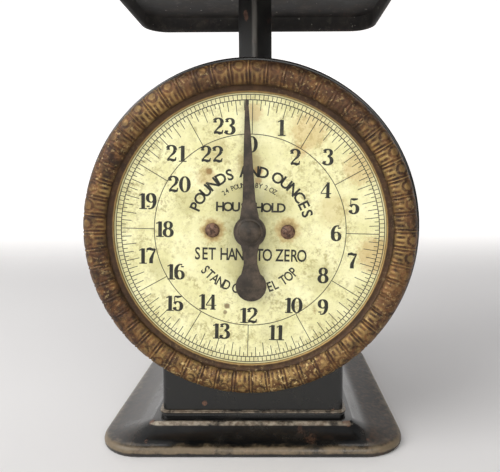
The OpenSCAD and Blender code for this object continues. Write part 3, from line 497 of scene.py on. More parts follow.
def old_brass():
    """Embossed brass: dark in the hollows, brown on the flats, gold on the rubbed high points, with painted
    shade in the groove and over the top of the ring.
    """
    brass = Finish("old_brass")
    z = brass.axes()["Z"]
    relief = brass.attribute("relief")
    patina = brass.noise(48.0, 6.0, 0.65)
    fine = brass.noise(380.0, 5.0, 0.7)
    colour = brass.mix(brass.fade(patina, 0.35, 0.68), (0.095, 0.040, 0.019), (0.19, 0.092, 0.036))
    colour = brass.mix(brass.times(brass.fade(fine, 0.45, 0.7), 0.5), colour, (0.23, 0.145, 0.065))
    warm = brass.fade(brass.noise(240.0, 5.0, 0.72), 0.5, 0.64)
    colour = brass.mix(brass.times(warm, 0.6), colour, (0.27, 0.13, 0.05))
    plum = brass.fade(brass.noise(205.0, 5.0, 0.72), 0.46, 0.36)
    colour = brass.mix(brass.times(plum, 0.65), colour, (0.055, 0.028, 0.026))
    soot = brass.times(
        brass.fade(brass.noise(230.0, 6.0, 0.75), 0.42, 0.58),
        brass.fade(brass.noise(42.0, 4.0, 0.6), 0.26, 0.52),
    )
    colour = brass.mix(brass.times(soot, 0.85), colour, (0.03, 0.018, 0.012))
    shade = brass.fade(z, DIAL.z + 0.03, DIAL.z + 0.08)
    colour = brass.mix(brass.times(shade, 0.4), colour, (0.07, 0.034, 0.02))
    rust = brass.times(brass.fade(brass.noise(120.0, 5.0, 0.7), 0.52, 0.66), 0.6)
    colour = brass.mix(rust, colour, (0.16, 0.065, 0.022))
    hollow = brass.fade(brass.math("MULTIPLY_ADD", fine, 0.25, relief), 0.6, 0.25)
    filled = brass.fade(brass.noise(75.0, 5.0, 0.7), 0.35, 0.6)
    hollow = brass.times(hollow, brass.level(filled, 0.3, 0.85))
    colour = brass.mix(hollow, colour, (0.026, 0.016, 0.011))
    rubbed = brass.times(
        brass.fade(brass.math("MULTIPLY_ADD", fine, 0.5, relief), 0.85, 1.25),
        brass.fade(brass.noise(30.0, 4.0, 0.6), 0.4, 0.62),
    )
    low_down = brass.fade(z, DIAL.z - 0.035, DIAL.z - 0.075)
    polished = brass.times(low_down, brass.fade(fine, 0.42, 0.62), brass.fade(relief, 0.4, 0.8))
    rubbed = brass.math("MAXIMUM", rubbed, polished)
    colour = brass.mix(brass.times(rubbed, 0.7), colour, (0.52, 0.34, 0.12))
    flecks = brass.times(
        brass.fade(brass.noise(620.0, 3.0, 0.6), 0.57, 0.64),
        brass.fade(brass.noise(36.0, 3.0), 0.42, 0.6),
        brass.math("MAXIMUM", low_down, 0.3),
    )
    colour = brass.mix(brass.times(flecks, 0.9), colour, (0.8, 0.6, 0.27))
    lip = brass.attribute("lip")
    colour = brass.mix(lip, colour, brass.mix(fine, (0.30, 0.19, 0.07), (0.60, 0.42, 0.17)))
    # painted shade: the groove inside the roll is darkened as if the roll shaded it
    groove = brass.attribute("groove")
    colour = brass.mix(groove, colour, brass.mix(fine, (0.028, 0.017, 0.011), (0.075, 0.042, 0.022)))
    brass.set("Base Color", colour)
    brass.set("Metallic", brass.level(patina, 0.45, 0.8))
    brass.set("Roughness", brass.level(fine, 0.36, 0.62))
    pitted = brass.math("ADD", brass.times(fine, 0.6), brass.times(brass.noise(170.0, 5.0, 0.7), 0.6))
    brass.bump(pitted, 0.0006, 0.8)
    return brass.material


def coat(piece, material):
    piece.data.materials.clear()
    piece.data.materials.append(material)


def coat_node(name, material):
    piece = nodes[name]
    if not piece.material_slots:
        piece.data.materials.append(material)
    for slot in piece.material_slots:
        slot.material = material


# ---------------------------------------------------------------- making pieces


def pick(*pieces):
    """Select these pieces alone, with the first one active."""
    bpy.ops.object.select_all(action="DESELECT")
    for piece in pieces:
        piece.select_set(True)
    bpy.context.view_layer.objects.active = pieces[0]


def join(*pieces):
    pick(*pieces)
    bpy.ops.object.join()
    return bpy.context.object


def skin(name, rings, fill_start=False, fill_end=False, closed=False, smooth=35):
    """A skin through rings of points: a circle of wire, extruded once for each ring and set to its shape."""
    count = len(rings[0])
    bpy.ops.object.select_all(action="DESELECT")
    bpy.ops.mesh.primitive_circle_add(vertices=count, radius=0.05, location=(0, 0, 0))
    piece = bpy.context.object
    piece.name = name
    bpy.ops.object.mode_set(mode="EDIT")
    bpy.ops.mesh.select_all(action="SELECT")
    mesh = bmesh.from_edit_mesh(piece.data)
    mesh.verts.ensure_lookup_table()
    for vertex, point in zip(mesh.verts, rings[0]):
        vertex.co = point
    bmesh.update_edit_mesh(piece.data)
    if fill_start:
        bpy.ops.mesh.edge_face_add()
        bpy.ops.mesh.select_all(action="SELECT")
    for ring in rings[1:]:
        if fill_start and ring is rings[1]:
            mesh = bmesh.from_edit_mesh(piece.data)
            for face in mesh.faces:
                face.select_set(False)
            for edge in mesh.edges:
                edge.select_set(True)
        bpy.ops.mesh.extrude_edges_move()
        mesh = bmesh.from_edit_mesh(piece.data)
        mesh.verts.ensure_lookup_table()
        for vertex, point in zip(mesh.verts[-count:], ring):
            vertex.co = point
        bmesh.update_edit_mesh(piece.data)
    if fill_end:
        bpy.ops.mesh.edge_face_add()
    bpy.ops.mesh.select_all(action="SELECT")
    if closed:
        bpy.ops.mesh.remove_doubles(threshold=1e-6)
    bpy.ops.mesh.normals_make_consistent(inside=False)
    bpy.ops.object.mode_set(mode="OBJECT")
    bpy.ops.object.shade_smooth_by_angle(angle=math.radians(smooth))
    return piece


def round_corners(width, depth, radius, height, steps=10):
    """Points of a rectangle with rounded corners, in millimetres, seen from above."""
    points = []
    for quarter, (sx, sy) in enumerate(((1, 1), (-1, 1), (-1, -1), (1, -1))):
        cx = sx * (width / 2 - radius)
        cy = sy * (depth / 2 - radius)
        for step in range(steps + 1):
            turn = math.pi / 2 * (quarter + step / steps)
            points.append(Vector((cx + radius * math.cos(turn), cy + radius * math.sin(turn), height)) * MM)
    return points


def squares(width, rows):
    """Square rings for round_corners, from rows of (how much narrower than width, corner radius, height)."""
    return [(width - less, width - less, radius, height) for less, radius, height in rows]


def turned_ring(radius, front, count):
    """Points of a circle round the spindle: radius and distance in front of the dial face, in millimetres."""
    turns = [2 * math.pi * i / count for i in range(count)]
    return [DIAL + Vector((radius * math.sin(turn), -front, radius * math.cos(turn))) * MM for turn in turns]


def finish_piece(piece, body, material, slot, *stands_for):
    """Coat a piece, put it on its body, and hide the CAD nodes it stands for."""
    coat(piece, material)
    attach(piece, body)
    if stands_for:
        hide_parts(*stands_for)
    return piece


# ---------------------------------------------------------------- base and tray


LEDGE_WIDE, LEDGE_DEEP = 103.6, 128.4


def flare(share, wide, less, corner, low):
    """A ring of the skirt, which is nearly flat at the rim (share 0) and steep at the ledge (share 1)."""
    return (
        wide - less - (wide - LEDGE_WIDE) * share,
        wide - less - (wide - LEDGE_DEEP) * share,
        corner - 14.0 * share,
        low + 6.3 * share ** 1.7,
    )


def make_base(material):
    """The pressed base: a rolled rim, a flared skirt, a ledge and the raised deck, with its inside."""
    low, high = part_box("base_shell")
    top = high.z / MM
    wide = (high.x - low.x) / MM
    rolled = [(2.4, 20.8, 0.0), (1.2, 21.4, 0.12), (0.3, 21.8, 0.7), (0.0, 22.0, 1.6), (0.1, 22.0, 2.5)]
    rolled += [(0.7, 21.7, 3.4), (1.8, 21.1, 4.2), (3.2, 20.4, 4.7), (5.0, 19.6, 4.9)]
    rings = squares(wide, rolled)
    inner, steps = wide - 5.0, 12
    rings += [flare(i / steps, inner, 0.0, 19.6, 4.9) for i in range(1, steps + 1)]
    rings += [
        (103.2, 128.0, 5.4, 11.42),
        (102.6, 127.4, 5.2, 11.5),
        (96.4, 117.4, 4.2, 11.5),
        (96.4, 117.4, 4.2, 13.1),
        (95.9, 116.9, 4.0, 13.5),
        (70.0, 91.0, 3.0, top),
        (70.0, 91.0, 3.0, top - 0.9),
        (94.6, 115.6, 3.3, top - 0.9),
        (94.6, 115.6, 3.3, 10.6),
        (101.0, 126.0, 4.6, 10.5),
    ]
    rings += [flare(i / steps, inner, 1.6, 18.8, 3.9) for i in range(steps - 1, -1, -1)]
    rings += squares(wide, [(4.6, 19.7, 3.5), (4.8, 19.6, 0.5), (4.0, 20.0, 0.0), (2.4, 20.8, 0.0)])
    base = skin("base_skirt", [round_corners(*ring) for ring in rings], closed=True)
    return finish_piece(base, "housing", material, "black_enamel", "base_shell")


def make_tray(material):
    """The pressed tray: a flat top, a turned-down edge and a small bead along its foot."""
    low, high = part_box("tray")
    top = high.z / MM
    edge = low.z / MM
    wide = (high.x - low.x) / MM
    corner = 17.0
    inside = [
        (9.0, corner - 4.0, top - 1),
        (5.6, corner - 2.8, top - 1.6),
        (4.4, corner - 2.2, top - 3.4),
        (4.4, corner - 2.2, edge + 2.0),
    ]
    bead = [
        (4.0, corner - 2.0, edge + 0.8),
        (2.8, corner - 1.4, edge + 0.1),
        (1.6, corner - 0.8, edge),
        (0.4, corner - 0.2, edge + 0.45),
        (0.0, corner, edge + 1.0),
        (0.4, corner - 0.2, edge + 1.6),
        (1.6, corner - 0.8, edge + 2.0),
        (2.3, corner - 1.1, edge + 2.6),
    ]
    outside = [
        (2.4, corner - 1.2, top - 3.0),
        (3.2, corner - 1.6, top - 1.4),
        (5.0, corner - 2.4, top - 0.4),
        (8.0, corner - 3.6, top),
    ]
    rings = [(10, 10, 4, top - 1), *squares(wide, inside + bead + outside), (10, 10, 4, top)]
    tray = skin("pressed_tray", [round_corners(*ring) for ring in rings], fill_start=True, fill_end=True)
    return finish_piece(tray, "platform", material, "black_enamel", "tray")


def make_post(material):
    """The folded angle post: two faces that meet in a rounded ridge at the front."""
    low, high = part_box("post")
    half, thick, back, ridge = 10.0, 1.6, 5.0, -5.0
    slant = thick * math.sqrt(2)
    fold = 1.5
    outline = [(-half, back), (-half + 0.25, back - 0.75)]
    for step in range(7):
        turn = math.radians(-135 + 90 * step / 6)
        outline.append((fold * math.cos(turn), ridge + fold * math.sqrt(2) + fold * math.sin(turn)))
    outline += [(half - 0.25, back - 0.75), (half, back), (half - slant, back)]
    outline += [(0, ridge + slant), (-half + slant, back)]
    heights = [low.z / MM, high.z / MM - 0.01]
    rings = [[Vector((x, y, z)) * MM for x, y in outline] for z in heights]
    post = skin("folded_post", rings, fill_start=True, fill_end=True, smooth=40)
    for side in (-1, 1):
        for z0, z1 in ((heights[0], 158.0), (heights[1] - 11.4, heights[1])):
            bpy.ops.object.select_all(action="DESELECT")
            centre = (side * 11.6 * MM, 4.2 * MM, (z0 + z1) / 2 * MM)
            bpy.ops.mesh.primitive_cube_add(size=1, location=centre)
            flange = bpy.context.object
            bpy.ops.object.mode_set(mode="EDIT")
            bpy.ops.transform.resize(
                value=(6.8 * MM, 1.6 * MM, (z1 - z0) * MM), center_override=flange.location
            )
            bpy.ops.mesh.bevel(offset=0.3 * MM, segments=2)
            bpy.ops.object.mode_set(mode="OBJECT")
            bpy.ops.object.transform_apply(location=True, rotation=True, scale=True)
            post = join(post, flange)
    return finish_piece(post, "platform", material, "black_enamel", "post")


# ---------------------------------------------------------------- bezel

REPEATS = 56
PER_REPEAT = 22


def panel_relief(across, down):
    """Height of the embossing, from 0 in the hollows to 1.

    across goes from -0.5 to 0.5 over one repeat, and down from 0 at the rim to 1 at the groove. A repeat
    is an arched panel with a ring in it and three small bars under the ring, and a bead stands between panels.
    """
    if down < 0.05:
        return 0.75
    if down < 0.09:
        return 0.3
    if down > 0.95:
        return 0.3
    side = abs(across)
    half = 0.4 if down < 0.5 else 0.4 - 0.05 * math.sin(math.pi * (down - 0.5) / 0.45)
    if down < 0.22:
        half *= math.sqrt(max(0.0, 1 - ((0.22 - down) / 0.15) ** 2))
    panel = max(0.0, min(1.0, (half - side) / 0.1 + 0.5))
    ring = math.hypot(side / 0.27, (down - 0.37) / 0.17)
    dish = 0.42 * max(0.0, 1 - abs(ring - 1) / 0.3)
    bars = bead = 0.0
    if 0.6 < down < 0.9:
        bars = 0.3 * math.cos(2 * math.pi * side / 0.32) * math.sin(math.pi * (down - 0.6) / 0.3)
    if 0.12 < down < 0.92:
        bead = max(0.0, min(1.0, (0.05 - (0.5 - side)) / 0.045 + 0.5))
    return max(0.15, panel * (0.8 - dish + bars), 0.95 * bead)


def make_bezel(material):
    """The brass ring: its outer wall, the embossed roll, the groove, the bright lip and the hollow back."""
    around = REPEATS * PER_REPEAT
    rim, foot, crest, half = 80.25, -8.6, 73.75, 6.4
    steps, back_steps = 34, 8
    # each ring: radius, distance in front of the dial, share down the embossing, lip, groove (painted shade)
    section = [(80.2, foot, None, 0, 0), (rim, -4.5, None, 0, 0), (rim, -1.4, None, 0, 0)]
    for i in range(steps + 1):
        share = i / steps
        turn = math.radians(2 + 152 * share)
        shaded = min(0.7, max(0.0, (share - 0.84) / 0.2))
        section.append((crest + half * math.cos(turn), -0.9 + 6.3 * math.sin(turn), share, 0, shaded))
    section += [
        (67.5, 1.5, None, 0, 0.75),
        (67.0, 1.25, None, 0, 0.75),
        (66.5, 1.2, None, 0, 0.85),
        (66.1, 1.15, None, 0, 0.7),
        (65.75, 1.1, None, 0.5, 0.2),
        (65.5, 0.95, None, 1, 0),
        (65.3, 0.7, None, 0.8, 0),
        (65.2, 0.1, None, 0, 0.5),
        (66.2, 0.1, None, 0, 0),
        (67.4, 0.5, None, 0, 0),
    ]
    for i in range(back_steps):
        turn = math.radians(150 - 145 * i / (back_steps - 1))
        section.append((crest + 5.8 * math.cos(turn), -1.2 + 5.7 * math.sin(turn), None, 0, 0))
    section += [(79.65, -4.5, None, 0, 0), (79.65, foot, None, 0, 0), (80.2, foot, None, 0, 0)]
    rings = []
    marks = []
    for radius, front, share, lip, groove in section:
        ring = []
        for i in range(around):
            turn = 2 * math.pi * i / around
            height, r, f = 0.6, radius, front
            if share is not None:
                height = panel_relief((i % PER_REPEAT) / PER_REPEAT - 0.5, share)
                lift = 0.5 * (height - 0.75)
                out_r = (radius - crest) / half
                out_y = math.sqrt(max(0.0, 1 - out_r * out_r))
                r, f = radius + lift * out_r, front + lift * out_y
            r = min(r, rim)
            f = min(f, 5.95)
            ring.append(DIAL + Vector((r * math.sin(turn), -f, r * math.cos(turn))) * MM)
            marks.append((height, float(lip), float(groove)))
        rings.append(ring)
    bezel = skin("embossed_bezel", rings, smooth=50)
    for index, name in enumerate(("relief", "lip", "groove")):
        layer = bezel.data.attributes.new(name, "FLOAT", "POINT")
        layer.data.foreach_set("value", [mark[index] for mark in marks])
    bpy.ops.object.mode_set(mode="EDIT")
    bpy.ops.mesh.select_all(action="SELECT")
    bpy.ops.mesh.remove_doubles(threshold=1e-6)
    bpy.ops.mesh.normals_make_consistent(inside=False)
    bpy.ops.object.mode_set(mode="OBJECT")
    return finish_piece(bezel, "housing", material, "brass_bezel", "bezel")


# ---------------------------------------------------------------- dial printing

PROUD = 0.03


def lay_on_dial(piece, proud):
    """Turn what was made round the origin with the dial, and set it that many millimetres in front of it."""
    piece.data.transform(Matrix.Rotation(DIAL_TURN, 4, "Y"))
    piece.data.transform(Matrix.Translation(DIAL + Vector((0, -proud * MM, 0))))


def add_mark(angle, inner, outer, width):
    """One printed line, lying along a radius."""
    bpy.ops.mesh.primitive_cube_add(size=1, location=(0, 0, (inner + outer) / 2 * MM))
    mark = bpy.context.object
    mark.scale = (width * MM, PROUD * MM, (outer - inner) * MM)
    bpy.ops.object.transform_apply(location=True, rotation=False, scale=True)
    mark.rotation_euler = (0, math.radians(angle), 0)
    bpy.ops.object.transform_apply(location=False, rotation=True, scale=False)
    return mark


CIRCLE_IN, CIRCLE_MID, CIRCLE_OUT = 46.0, 61.9, 64.4


OUNCE_TURN = 1.875


def make_marks(material):
    """The ounce marks of two pounds, repeated twelve times round the dial, and its three circles."""
    bpy.ops.object.select_all(action="DESELECT")
    pound = 6.8
    lengths = (pound, 2.2, 4.8, 2.2, pound, 2.2, 4.8, 2.2)
    made = []
    for i in range(2 * len(lengths)):
        if i == 0:
            made.append(add_mark(0, CIRCLE_IN, CIRCLE_MID, 0.34))
        else:
            made.append(add_mark(i * OUNCE_TURN, CIRCLE_MID - lengths[i % 8], CIRCLE_MID, 0.32))
        made.append(add_mark((i + 0.5) * OUNCE_TURN, CIRCLE_MID, CIRCLE_OUT, 0.3))
    marks = join(*made)
    marks.name = "ounce_marks"
    bpy.ops.object.empty_add(location=(0, 0, 0), rotation=(0, math.radians(30), 0))
    turn = bpy.context.object
    pick(marks)
    repeat = marks.modifiers.new("repeat", "ARRAY")
    repeat.count = 12
    repeat.use_relative_offset = False
    repeat.use_object_offset = True
    repeat.offset_object = turn
    bpy.ops.object.modifier_apply(modifier="repeat")
    bpy.data.objects.remove(turn)
    lay_on_dial(marks, PROUD / 2)
    for radius, width in ((CIRCLE_IN, 0.36), (CIRCLE_MID, 0.4), (CIRCLE_OUT, 0.36)):
        inner, outer = radius - width / 2, radius + width / 2
        corners = ((inner, 0.0), (inner, PROUD), (outer, PROUD), (outer, 0.0))
        ring = skin("dial_ring", [turned_ring(edge, front, 180) for edge, front in corners], smooth=30)
        marks = join(marks, ring)
    return finish_piece(marks, "housing", material, "dark_iron")


def bowl(cx, cz, rx, rz, start, end, thin, thick, steps):
    """Part of an oval stroke, thin at its ends and thick at its sides; angles run clockwise from the top."""
    points = []
    for i in range(steps + 1):
        turn = math.radians(start + (end - start) * i / steps)
        side = abs(math.sin(turn)) ** 1.6
        points.append((cx + rx * math.sin(turn), cz + rz * math.cos(turn), thin + (thick - thin) * side))
    return points


def ball(x, z, radius):
    """The round dot that ends a stroke."""
    return [(x, z - radius * 0.55, radius * 0.75), (x, z, radius), (x, z + radius * 0.55, radius * 0.75)]


# the strokes of each figure: (x, z, width) along each one, as shares of the figure's height
FIGURES = {
    "0": [bowl(0.3, 0.5, 0.21, 0.47, 0, 360, 0.025, 0.085, 24)],
    "1": [
        [(0.28, 0.02, 0.085), (0.28, 0.97, 0.085)],
        [(0.28, 0.96, 0.03), (0.16, 0.88, 0.025), (0.08, 0.84, 0.03)],
        [(0.08, 0.025, 0.025), (0.48, 0.025, 0.025)],
    ],
    "2": [
        ball(0.13, 0.75, 0.085),
        bowl(0.29, 0.74, 0.2, 0.235, -75, 100, 0.03, 0.085, 12),
        [(0.485, 0.7, 0.08), (0.42, 0.52, 0.06), (0.26, 0.34, 0.035), (0.1, 0.12, 0.03)],
        [(0.08, 0.07, 0.045), (0.22, 0.12, 0.055), (0.38, 0.07, 0.07), (0.5, 0.1, 0.05), (0.54, 0.27, 0.02)],
    ],
    "3": [
        ball(0.14, 0.79, 0.08),
        bowl(0.28, 0.77, 0.18, 0.2, -70, 180, 0.03, 0.08, 14),
        bowl(0.27, 0.28, 0.22, 0.255, 0, 250, 0.03, 0.09, 16),
        ball(0.12, 0.2, 0.085),
    ],
    "4": [
        [(0.4, 0.02, 0.08), (0.4, 0.97, 0.07)],
        [(0.4, 0.96, 0.03), (0.04, 0.3, 0.022)],
        [(0.03, 0.28, 0.022), (0.58, 0.28, 0.022)],
        [(0.26, 0.025, 0.025), (0.54, 0.025, 0.025)],
    ],
    "5": [
        [(0.12, 0.95, 0.03), (0.28, 0.91, 0.06), (0.48, 0.95, 0.03)],
        [(0.12, 0.95, 0.022), (0.11, 0.5, 0.022)],
        bowl(0.28, 0.32, 0.2, 0.285, -60, 250, 0.03, 0.09, 16),
        ball(0.13, 0.2, 0.085),
    ],
    "6": [
        bowl(0.31, 0.3, 0.19, 0.27, 0, 360, 0.025, 0.08, 20),
        bowl(0.36, 0.5, 0.24, 0.47, 190, 380, 0.03, 0.085, 18),
        ball(0.46, 0.83, 0.075),
    ],
    "7": [
        [(0.08, 0.92, 0.05), (0.24, 0.96, 0.07), (0.4, 0.9, 0.06), (0.53, 0.95, 0.03)],
        [(0.08, 0.97, 0.02), (0.08, 0.74, 0.02)],
        [(0.53, 0.95, 0.025), (0.4, 0.62, 0.05), (0.3, 0.3, 0.085), (0.3, 0.03, 0.09)],
    ],
    "8": [
        bowl(0.3, 0.75, 0.165, 0.215, 0, 360, 0.03, 0.075, 20),
        bowl(0.3, 0.28, 0.2, 0.25, 0, 360, 0.03, 0.085, 20),
    ],
    "9": [
        bowl(0.29, 0.7, 0.19, 0.27, 0, 360, 0.025, 0.08, 20),
        bowl(0.24, 0.5, 0.24, 0.47, 10, 200, 0.03, 0.085, 18),
        ball(0.14, 0.17, 0.075),
    ],
}
FIGURE_HEIGHT = 7.9
FIGURE_SPREAD = 1.16
FIGURE_BOLD = 1.32
# radii of the circles that the odd and the even figures stand on, in millimetres
ODD_CIRCLE, EVEN_CIRCLE = 51.1, 41.2
# where a figure stands off its place on the circle, in millimetres
NUDGES = {10: (1.0, 0.0), 14: (0.5, 0.7), 20: (1.4, 1.0), 22: (1.7, 0.5)}


def figure_advance(digit):
    return (0.47 if digit == "1" else 0.7) * FIGURE_HEIGHT


def make_figures(material):
    """The pound figures, drawn with a broad pen: each stroke is a line of varying thickness, pressed flat."""
    strokes = bpy.data.curves.new("pound_figures", "CURVE")
    strokes.dimensions = "3D"
    strokes.bevel_depth = 1.0
    strokes.bevel_resolution = 2
    strokes.use_fill_caps = True
    for pound in range(24):
        radius = ODD_CIRCLE if pound % 2 else EVEN_CIRCLE
        turn = math.radians(15 * pound)
        across, above = NUDGES.get(pound, (0.0, 0.0))
        cx, cz = radius * math.sin(turn) + across, radius * math.cos(turn) + above
        digits = str(pound)
        start = cx - sum(figure_advance(digit) for digit in digits) / 2
        for digit in digits:
            for stroke in FIGURES[digit]:
                line = strokes.splines.new("POLY")
                line.points.add(len(stroke) - 1)
                for point, (x, z, width) in zip(line.points, stroke):
                    along = start + x * FIGURE_SPREAD * FIGURE_HEIGHT
                    height = cz + (z - 0.5) * FIGURE_HEIGHT * 0.97
                    point.co = (along * MM, 0, height * MM, 1)
                    point.radius = width * FIGURE_BOLD * FIGURE_HEIGHT * MM
            start += figure_advance(digit)
    piece = bpy.data.objects.new("pound_figures", strokes)
    bpy.context.scene.collection.objects.link(piece)
    pick(piece)
    bpy.ops.object.convert(target="MESH")
    figures = bpy.context.object
    bpy.ops.object.mode_set(mode="EDIT")
    bpy.ops.mesh.select_all(action="SELECT")
    bpy.ops.transform.resize(value=(1, 0.03, 1), center_override=(0, 0, 0))
    bpy.ops.object.mode_set(mode="OBJECT")
    lay_on_dial(figures, 0.02)
    return finish_piece(figures, "housing", material, "dark_iron")


def set_word(text, size, places, bold, squeeze):
    """Letters as flat meshes; places gives (x, z, turn) for each from the dial's centre (mm, radians)."""
    letters = []
    for letter, (x, z, turn) in zip(text, places):
        if letter == " ":
            continue
        bpy.ops.object.text_add(location=(0, 0, 0))
        piece = bpy.context.object
        piece.data.body = letter
        piece.data.size = size * MM
        piece.data.align_x = "CENTER"
        piece.data.offset = bold * MM
        piece.data.resolution_u = 3
        piece.data.extrude = PROUD / 2 * MM
        bpy.ops.object.convert(target="MESH")
        piece = bpy.context.object
        piece.data.transform(Matrix.Scale(squeeze, 4, Vector((1, 0, 0))))
        piece.data.transform(Matrix.Rotation(math.pi / 2, 4, "X"))
        piece.data.transform(Matrix.Rotation(turn, 4, "Y"))
        piece.data.transform(Matrix.Translation(Vector((x * MM, 0, z * MM))))
        letters.append(piece)
    return letters


# room that a letter takes along its line, as a share of the type size, where it isn't the common one
WIDTHS = {" ": 0.4, "I": 0.33, "J": 0.5, "L": 0.58, "E": 0.64, "F": 0.6, "M": 0.9, "W": 1.0, "1": 0.5}
COMMON_WIDTH = 0.72
# height of a capital as a share of the type size
CAPITAL = 0.72


def letter_places(text, height, length):
    """Middle of each letter along a line of the given length, and how far the letters are squeezed to fit."""
    widths = [WIDTHS.get(letter, COMMON_WIDTH) for letter in text]
    share = length / sum(widths)
    along = -length / 2
    middles = []
    for width in widths:
        middles.append(along + width * share / 2)
        along += width * share
    return middles, min(1.0, share / (0.86 * height / CAPITAL))


def arc_word(text, height, radius, first, last, bold, top=True):
    """A word on an arc: height of its capitals, radius of their middles, angles where it starts and ends."""
    middles, squeeze = letter_places(text, height, math.radians(last - first) * radius)
    lean = math.radians(first + last) / 2
    places = []
    for along in middles:
        turn = along / radius + lean
        if top:
            foot = radius - height / 2
            places.append((foot * math.sin(turn), foot * math.cos(turn), turn))
        else:
            foot = radius + height / 2
            places.append((foot * math.sin(turn), -foot * math.cos(turn), -turn))
    return set_word(text, height / CAPITAL, places, bold, squeeze)


def line_word(text, height, level, length, bold):
    """A word on a straight line, level with that height above the centre."""
    middles, squeeze = letter_places(text, height, length)
    places = [(along, level - height / 2, 0) for along in middles]
    return set_word(text, height / CAPITAL, places, bold, squeeze)


def make_wording(material):
    """Plain words about use."""
    letters = []
    letters += arc_word("POUNDS AND OUNCES", 5.2, 28.7, -72, 76, 0.17)
    letters += arc_word("24 POUNDS BY 2 OZ.", 2.4, 22.2, -38, 38, 0.05)
    letters += line_word("HOUSEHOLD", 4.4, 11.6, 33, 0.18)
    letters += line_word("SET HAND TO ZERO", 6.0, -11.2, 54, 0.13)
    letters += arc_word("STAND ON LEVEL TOP", 4.8, 28.5, -51, 51, 0.11, top=False)
    words = join(*letters)
    words.name = "dial_wording"
    lay_on_dial(words, PROUD / 2)
    return finish_piece(words, "housing", material, "dark_iron")


# ---------------------------------------------------------------- hub


def make_hub(material):
    """The nut over the pointer: a flat washer edge, a step, a low dome and a small cone in the middle."""
    low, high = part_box("hub_cap")
    edge = (high.x - low.x) / 2 / MM
    back = (DIAL.y - high.y) / MM
    front = (DIAL.y - low.y) / MM
    tall = front - back
    profile = [(edge - 0.35, 0.0), (edge, 0.06), (edge, 0.2), (edge - 0.3, 0.27), (edge - 1.15, 0.33)]
    profile += [(edge - 1.3, 0.4), (edge - 1.9, 0.55), (edge - 3.0, 0.7), (edge - 4.3, 0.79), (1.7, 0.83)]
    profile += [(1.5, 0.85), (0.9, 0.94), (0.4, 0.99), (0.06, 1.0)]
    rings = [turned_ring(radius, back + share * tall, 64) for radius, share in profile]
    hub = skin("hub_nut", rings, fill_start=True, fill_end=True, smooth=40)
    return finish_piece(hub, "pointer_spindle", material, "dark_iron", "hub_cap")


# ---------------------------------------------------------------- springs


def eye_turns(steps=24):
    return [math.radians(-90 + 330 * i / steps) for i in range(steps + 1)]


def make_spring(name, material):
    """A close-wound spring with an eye at each end."""
    low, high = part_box(name)
    centre = middle(name)
    wire, mean, eye = 1.0, 6.5, 5.0
    top_eye = high.z / MM - eye - wire
    low_eye = low.z / MM + eye + wire
    coil_top, coil_low = top_eye - eye - 7.0, low_eye + eye + 7.0
    coils, per_coil = 34, 18
    count = coils * per_coil
    points = [(0, eye * math.cos(turn), low_eye + eye * math.sin(turn)) for turn in reversed(eye_turns())]
    for i in range(count + 1):
        turn = 2 * math.pi * i / per_coil
        radius = mean * min(1.0, i / 9, (count - i) / 9)
        height = coil_low + (coil_top - coil_low) * i / count
        points.append((radius * math.cos(turn), radius * math.sin(turn), height))
    points += [(eye * math.cos(turn), 0, top_eye + eye * math.sin(turn)) for turn in eye_turns()]
    line = bpy.data.curves.new(name + "_wire", "CURVE")
    line.dimensions = "3D"
    line.bevel_depth = wire * MM
    line.bevel_resolution = 1
    line.use_fill_caps = True
    spline = line.splines.new("POLY")
    spline.points.add(len(points) - 1)
    for point, (x, y, z) in zip(spline.points, points):
        point.co = (centre.x + x * MM, centre.y + y * MM, z * MM, 1)
    spring = bpy.data.objects.new(name + "_wire", line)
    bpy.context.scene.collection.objects.link(spring)
    pick(spring)
    bpy.ops.object.convert(target="MESH")
    bpy.ops.object.shade_smooth()
    return finish_piece(bpy.context.object, "spring_hanger", material, "spring_steel", name)


# ---------------------------------------------------------------- put it together

floor = sweep_backdrop()
coat(floor, studio_paper())

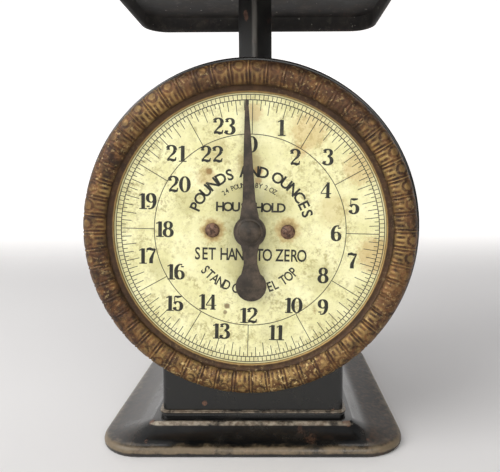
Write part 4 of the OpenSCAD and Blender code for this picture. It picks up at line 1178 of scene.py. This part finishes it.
base_black = enamel(
    "base_enamel",
    wear_spots=[
        ((-0.0515, -0.0625, 0.0115), 0.0024, 0.95),
        ((0.0480, -0.0640, 0.0112), 0.0026, 0.95),
        ((0.0330, -0.0645, 0.0110), 0.0016, 0.85),
        ((-0.0300, -0.0642, 0.0112), 0.0012, 0.8),
        ((0.0580, -0.0715, 0.0075), 0.0032, 0.7),
        ((-0.0520, -0.0725, 0.0070), 0.0022, 0.7),
        ((0.0640, -0.0500, 0.0080), 0.0050, 0.3),
        ((0.0660, -0.0100, 0.0080), 0.0060, 0.3),
    ],
    rim=(0.0011, 0.0044, 0.0010, TAN),
    foot=(0.0112, 0.0007, (0.36, 0.31, 0.24)),
    front_edge=0.0627,
    sides=(0.053, 0.45, 1.0, (0.016, 0.013, 0.008)),
)
column_black = enamel(
    "column_enamel",
    wear_spots=[
        ((-0.0250, -0.0575, 0.0185), 0.0016, 0.9),
        ((0.0420, -0.0590, 0.0150), 0.0022, 0.8),
        ((0.0330, -0.0590, 0.0148), 0.0014, 0.6),
    ],
    foot=(0.0143, 0.0003, (0.30, 0.25, 0.19)),
    tones=((0.003, 0.0031, 0.003), (0.008, 0.0073, 0.006)),
)
case_black = enamel("case_enamel")
tray_black = enamel(
    "tray_enamel",
    dusty=0.6,
    tones=((0.014, 0.012, 0.0105), (0.05, 0.042, 0.036)),
    rough_range=(0.55, 0.8),
    chips=0.8,
)
post_black = enamel(
    "post_enamel",
    wear_spots=[
        ((-0.0055, 0.0003, 0.2330), 0.0024, 0.95),
        ((-0.0050, -0.0002, 0.2300), 0.0022, 0.95),
        ((0.0, -0.0045, 0.2160), 0.0020, 0.5),
    ],
    tones=((0.006, 0.0055, 0.0048), (0.02, 0.018, 0.015)),
    rough_range=(0.35, 0.6),
    # painted highlight: pale streaks along the post's front ridge
    ridge=(-0.0042, (0.15, 0.14, 0.125)),
)
plain_steel = steel("plain_steel", (0.25, 0.24, 0.23), (0.5, 0.49, 0.47))
screw_steel = steel("dull_screws", (0.16, 0.13, 0.1), (0.38, 0.34, 0.29), 0.45)
wire_steel = steel("spring_wire", (0.2, 0.2, 0.2), (0.42, 0.42, 0.43), 0.32)
turned_brass = bush_brass()
iron = pointer_iron()
printing = ink()

COATS = (
    (column_black, "bed_plate bed_rivets column_front back_cover cap"),
    (case_black, "dial_case"),
    (tray_black, "tray_spider tray_rivets"),
    (screw_steel, "back_screws column_screws case_rivets upright_screws arbor_plate_screws"),
    (screw_steel, "rack_screws post_rivets dial_pillars"),
    (plain_steel, "left_upright right_upright arbor_plate bridge pivot_pins carriage link_pins"),
    (plain_steel, "rack_arm arbor upper_link lower_link spring_bar"),
    (turned_brass, "front_bush rear_bush arbor_collar pinion pointer_bush rack zero_screw"),
    (iron, "pointer"),
    (rusty_screw(), "dial_screws"),
    (dial_enamel(), "dial_plate"),
)
for material, names in COATS:
    for name in names.split():
        coat_node(name, material)

make_base(base_black)
make_tray(tray_black)
make_post(post_black)
make_bezel(old_brass())
make_hub(iron)
make_marks(printing)
make_figures(printing)
make_wording(printing)
for name in ("left_spring", "right_spring"):
    make_spring(name, wire_steel)

bpy.ops.object.select_all(action="DESELECT")
